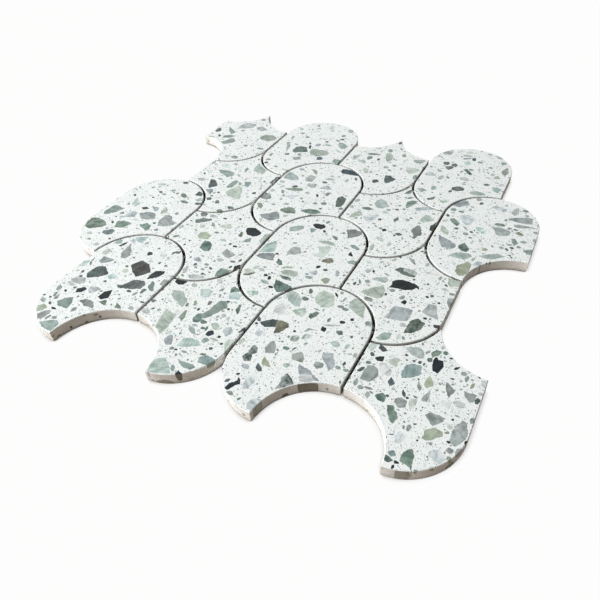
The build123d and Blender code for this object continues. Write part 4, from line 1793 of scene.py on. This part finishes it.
    "domed_chip_4_2": """
        DARK_GREEN*0.93 -13.6,-24.7 -10,-22 -5,-21.5 0,-29.3 -3.6,-31.1 -10,-34.7 -13.6,-32.9
        SAGE*0.93 1.8,-23.8 4.5,-21.5 14.5,-21.1 19.5,-23.8 19.1,-28.4 10.9,-33.4 4.5,-32 1.8,-27.5
        SLATE*1.1 13.2,-34.7 15.5,-33.4 19.1,-35.6 18.2,-38.8 14.5,-39.3
        TEAL*1.12 20,-1.1 23.6,-1.1 30,-5.6 29.1,-10.2 25.5,-11.5 20.9,-6.5
        GREY -7.3,-43.8 -3.6,-41.1 0,-42 -.5,-45.6 -3.6,-47.5
        BLACK*1.6 -3.6,-17.5 -2.3,-16.5 0,-22.5 -1.8,-22.5
        TEAL*1.05 28.6,-32 34.5,-32 35,-39.3 29.5,-38.4
        GREY*1.1 -26.4,-21.1 -21.8,-22 -19.5,-28.4 -17.3,-36.5 -19.5,-34.7 -22.3,-27.5
        PALE_SAGE -3.6,28 -.9,28.9 2.7,22.5 -1.8,21.6
        SAGE 16.4,27.1 20,28 23.2,23.5 19.1,21.6
        SLATE -15 -40.5 4 4
        TEAL -4.5 -36.5 3.5 3.5
        TEAL -13.5 -2.5 4 3.5
        GREY 8 -4.5 5 2.5 -55
        SLATE 19.5 5.5 4 3.5
        GREY 16.5 1.8 6 2 -25
        GREY 17.5 13 5 3 80
        TEAL -28 -47 8 2.5 95
        GREY -26 -56 4 3
        SLATE -24.5 -62 4 3
        TEAL -13 -65 4 2.5
        GREY -22 3 4 2.5
        PALE_TEAL 12 -10 8 3
        PALE_TEAL 26 -17.4 8 2.2 -35
        PALE_LAVENDER 3 -13.4 6 4 80
        PALE_LAVENDER -12 18.2 4 3
        GREY -14.4 24 4 2.4 -50
        PALE_GREY 3 19 4 3
        PALE_TEAL -27 11 5 3.4
        GREY -16.4 -19.8 4 2
        SLATE -5.2 -13.4 4 1.6 -60
        PALE_TEAL -2.4 -38.6 5 2.6
        GREY -24.6 -20 3.6 2
    """,
    "peaked_chip_4_3": """
        SLATE*1.1 9.5,-42 13.6,-40.2 16.4,-42.9 20,-44.7 18.2,-48.4 15.5,-52.9 13.6,-53.6 11.4,-48.4
        SLATE*0.9 3.2,-52.5 5.5,-51.1 8.2,-53.4 5.5,-57.5 3.2,-55.6
        SAGE -3.6,-3.8 -.9,-2.5 2.7,-5.6 5,-12.9 2.3,-18.4 0,-15.6 -2.7,-8.4
        TEAL*0.9 -18.2,-9.3 -13.6,-7.9 -8.2,-7.5 -9.1,-9.7 -15.5,-12 -18.6,-12.5
        TEAL*0.88 -16.8,-15.6 -14.5,-14.3 -12.3,-16.5 -14.5,-22 -16.8,-18.8
        SAGE*1.08 -21.8,-25.6 -18.6,-22.9 -14.5,-27.5 -16.4,-29.3 -21.4,-28.4
        PALE_LAVENDER -29.5,-20.2 -24.1,-14.7 -25,-21.1 -26.8,-27.5
        PALE_SAGE -12.3,-39.3 -10.9,-36.5 -8.6,-37.5 -5.5,-43.8 -8.6,-44.7
        PALE_SAGE 21.4,-21.1 32.7,-20.2 31.8,-26.5 27.3,-31.5 23.6,-27.5
        GREY 23.6,-5.6 28.2,-3.8 32.7,-3.4 30.9,-9.3 27.3,-10.2 23.6,-8.4
        OLIVE 10,-1.1 12.3,.7 14.1,-2.9 11.8,-4.3
        SLATE -6.5 -17.5 4 2 -75
        SLATE 0.3 20 5 3 90
        TEAL -2.5 2 7 4 -70
        GREY 5 -28.5 4.5 3.5
        GREY 10.5 -23 3.5 3
        TEAL 33.5 -34.5 8 2.5 90
        PALE_GREY -14 2.5 6 4
        TEAL 9.5 -32 3.5 2
    """,
    "domed_chip_4_4": """
        SLATE*1.12 -5,-38.4 0,-34.3 4.5,-36.5 4.5,-39.3 0,-42.5 -4.5,-41.5
        SLATE*1.07 -23.6,.7 -20.5,2.5 -18.2,-.2 -20,-3.4 -23.2,-2
        SLATE*1.26 -16.2,-.2 -13.6,2.1 -11.4,-.2 -11.8,-3.8 -15,-3.8
        SLATE*1.28 -20,-6.5 -16.4,-4 -13.2,-5.6 -15.9,-11.1 -18.6,-9.3
        DARK_GREEN*0.93 -4.5,-5.6 -1.8,-3.8 .9,-6.5 4.5,-11.1 2.7,-12.9 0,-10.2 -2.7,-7.5
        BLACK*1.7 -2.3,17.1 -.5,18.5 .9,14.4 -.9,12.5
        GREY*0.92 -10,13.9 -4.1,17.5 -3.6,15.7 -9.1,12.5
        PALE_LAVENDER -11.4,19.8 -8.6,22.1 -4.1,21.6 -4.1,19.4 -10,18
        GREY*1.18 -30,17.1 -26.4,22.5 -22.7,26.2 -21.4,21.6 -22.7,16.2 -26.4,14.8
        PALE_TEAL*1.24 -7.7,8 -3.6,10.3 -.5,7.1 -2.7,3 -6.4,5.3
        GREY 26.4,3.5 29.1,12.1 31.8,4.4 30.5,-3.8 27.7,-.6
        TEAL*1.1 25,-25.6 29.1,-24.7 32.3,-26.5 30.5,-32.5 27.3,-30.6
        SLATE 17.3,-22.9 20,-21.5 22.3,-22.9 19.1,-25.4
        OLIVE*1.08 22.7,-8.4 25,-5.6 27.3,-9.3 23.6,-11.1
        SAGE*0.93 -30.5,-50.6 -26.4,-49.7 -22.7,-51.5 -26.4,-55.6
        TEAL*1.1 -20.9,-42.9 -18.2,-42 -16.4,-45.6 -19.1,-48.8
        DARK_GREEN*0.92 -18.2,-62 -15.5,-60.2 -13.6,-57.5 -13.6,-62 -17.3,-64.7
        MINT*1.04 -8.2,-62 -3.6,-58.4 -1.8,-61.1 -5,-64.7
        PALE_GREY -3.6,-21.1 0,-17.9 4.1,-20.2 3.6,-23.8 -1.8,-23.8
        SAGE*0.95 9.5,-40.2 14.5,-36.5 20.9,-37.5 22.7,-39.3 18.2,-42 13.6,-42.9
        TEAL 22.7,18.5 25.5,20.7 26.8,18 24.5,14.4
        PALE_LAVENDER 14.5,29.4 18.2,30.7 22.7,26.6 19.1,24.4
        GREY*0.92 -33.2,12.1 -29.1,9.8 -24.1,6.2 -27.3,7.5
        PALE_GREY*1.1 -32.7,-25.6 -30,-20.6 -23.6,-22 -23.6,-25.6 -30.9,-27.5
        GREY -22.5 -16 4 2.5
        TEAL 5.4 12.4 4.4 2.8
        DARK_GREEN 2 -3.6 4 2.2 -25
        GREY -5 -10 3.6 1.8 70
        PALE_TEAL 20.6 -4.4 5 3 70
        GREY 16 6 3.6 2.6
        PALE_LAVENDER 31 -19.4 5 3.4 60
        TEAL -13 -24 3.6 1.8 -45
        PALE_GREY -18.4 -26.6 8 4.4 80
        SLATE -4.8 -45 4 1.8 75
        SAGE 10 30 4.4 2.8
        PALE_SAGE -7.6 26.4 8 4.6
    """,
}


@dataclass
class MosaicSheet:
    """The whole sheet: sixteen chips with their stones, and the net that holds them."""

    plan: SheetPlan = field(default_factory=SheetPlan)
    net_nodes: tuple[str, ...] = ("net_long_strands", "net_cross_strands")

    def chips(self) -> list[Chip]:
        """Return the chips, row by row from the front."""
        placed: list[Chip] = []
        for row in range(1, self.plan.rows + 1):
            for column in range(1, self.plan.columns + 1):
                domed = (column - 1 + (row - 1) // 2) % 2 == 0
                shape = ChipShape.DOMED if domed else ChipShape.PEAKED
                placed.append(Chip(shape, row, column, self.plan))
        return placed

    def dress(self, node: str, finish: bpy.types.Material) -> None:
        """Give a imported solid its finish."""
        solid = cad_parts[node]
        for slot in solid.material_slots:
            slot.material = finish
        log.info("%s dressed as %s", node, finish.name)

    def build(self) -> None:
        """Dress the solids and lay the stones."""
        cement = HonedCement(self.plan).build()
        stone = HonedStone(self.plan).build()
        net = GlassNet().build()
        for chip in self.chips():
            self.dress(chip.name, cement)
            stones = tuple(read_stone(row) for row in BEDS[chip.name].strip().splitlines())
            piece = StoneBed(chip, stones).build(stone)
            log.info("%s laid with %d faces", piece.name, len(piece.data.polygons))
        for node in self.net_nodes:
            self.dress(node, net)


def main() -> None:
    """Build the sheet and the studio."""
    logging.basicConfig(level=logging.INFO, format="%(name)s: %(message)s")
    MosaicSheet().build()
    Studio().build()
    log.info("sizes written")


if __name__ == "__main__":
    main()
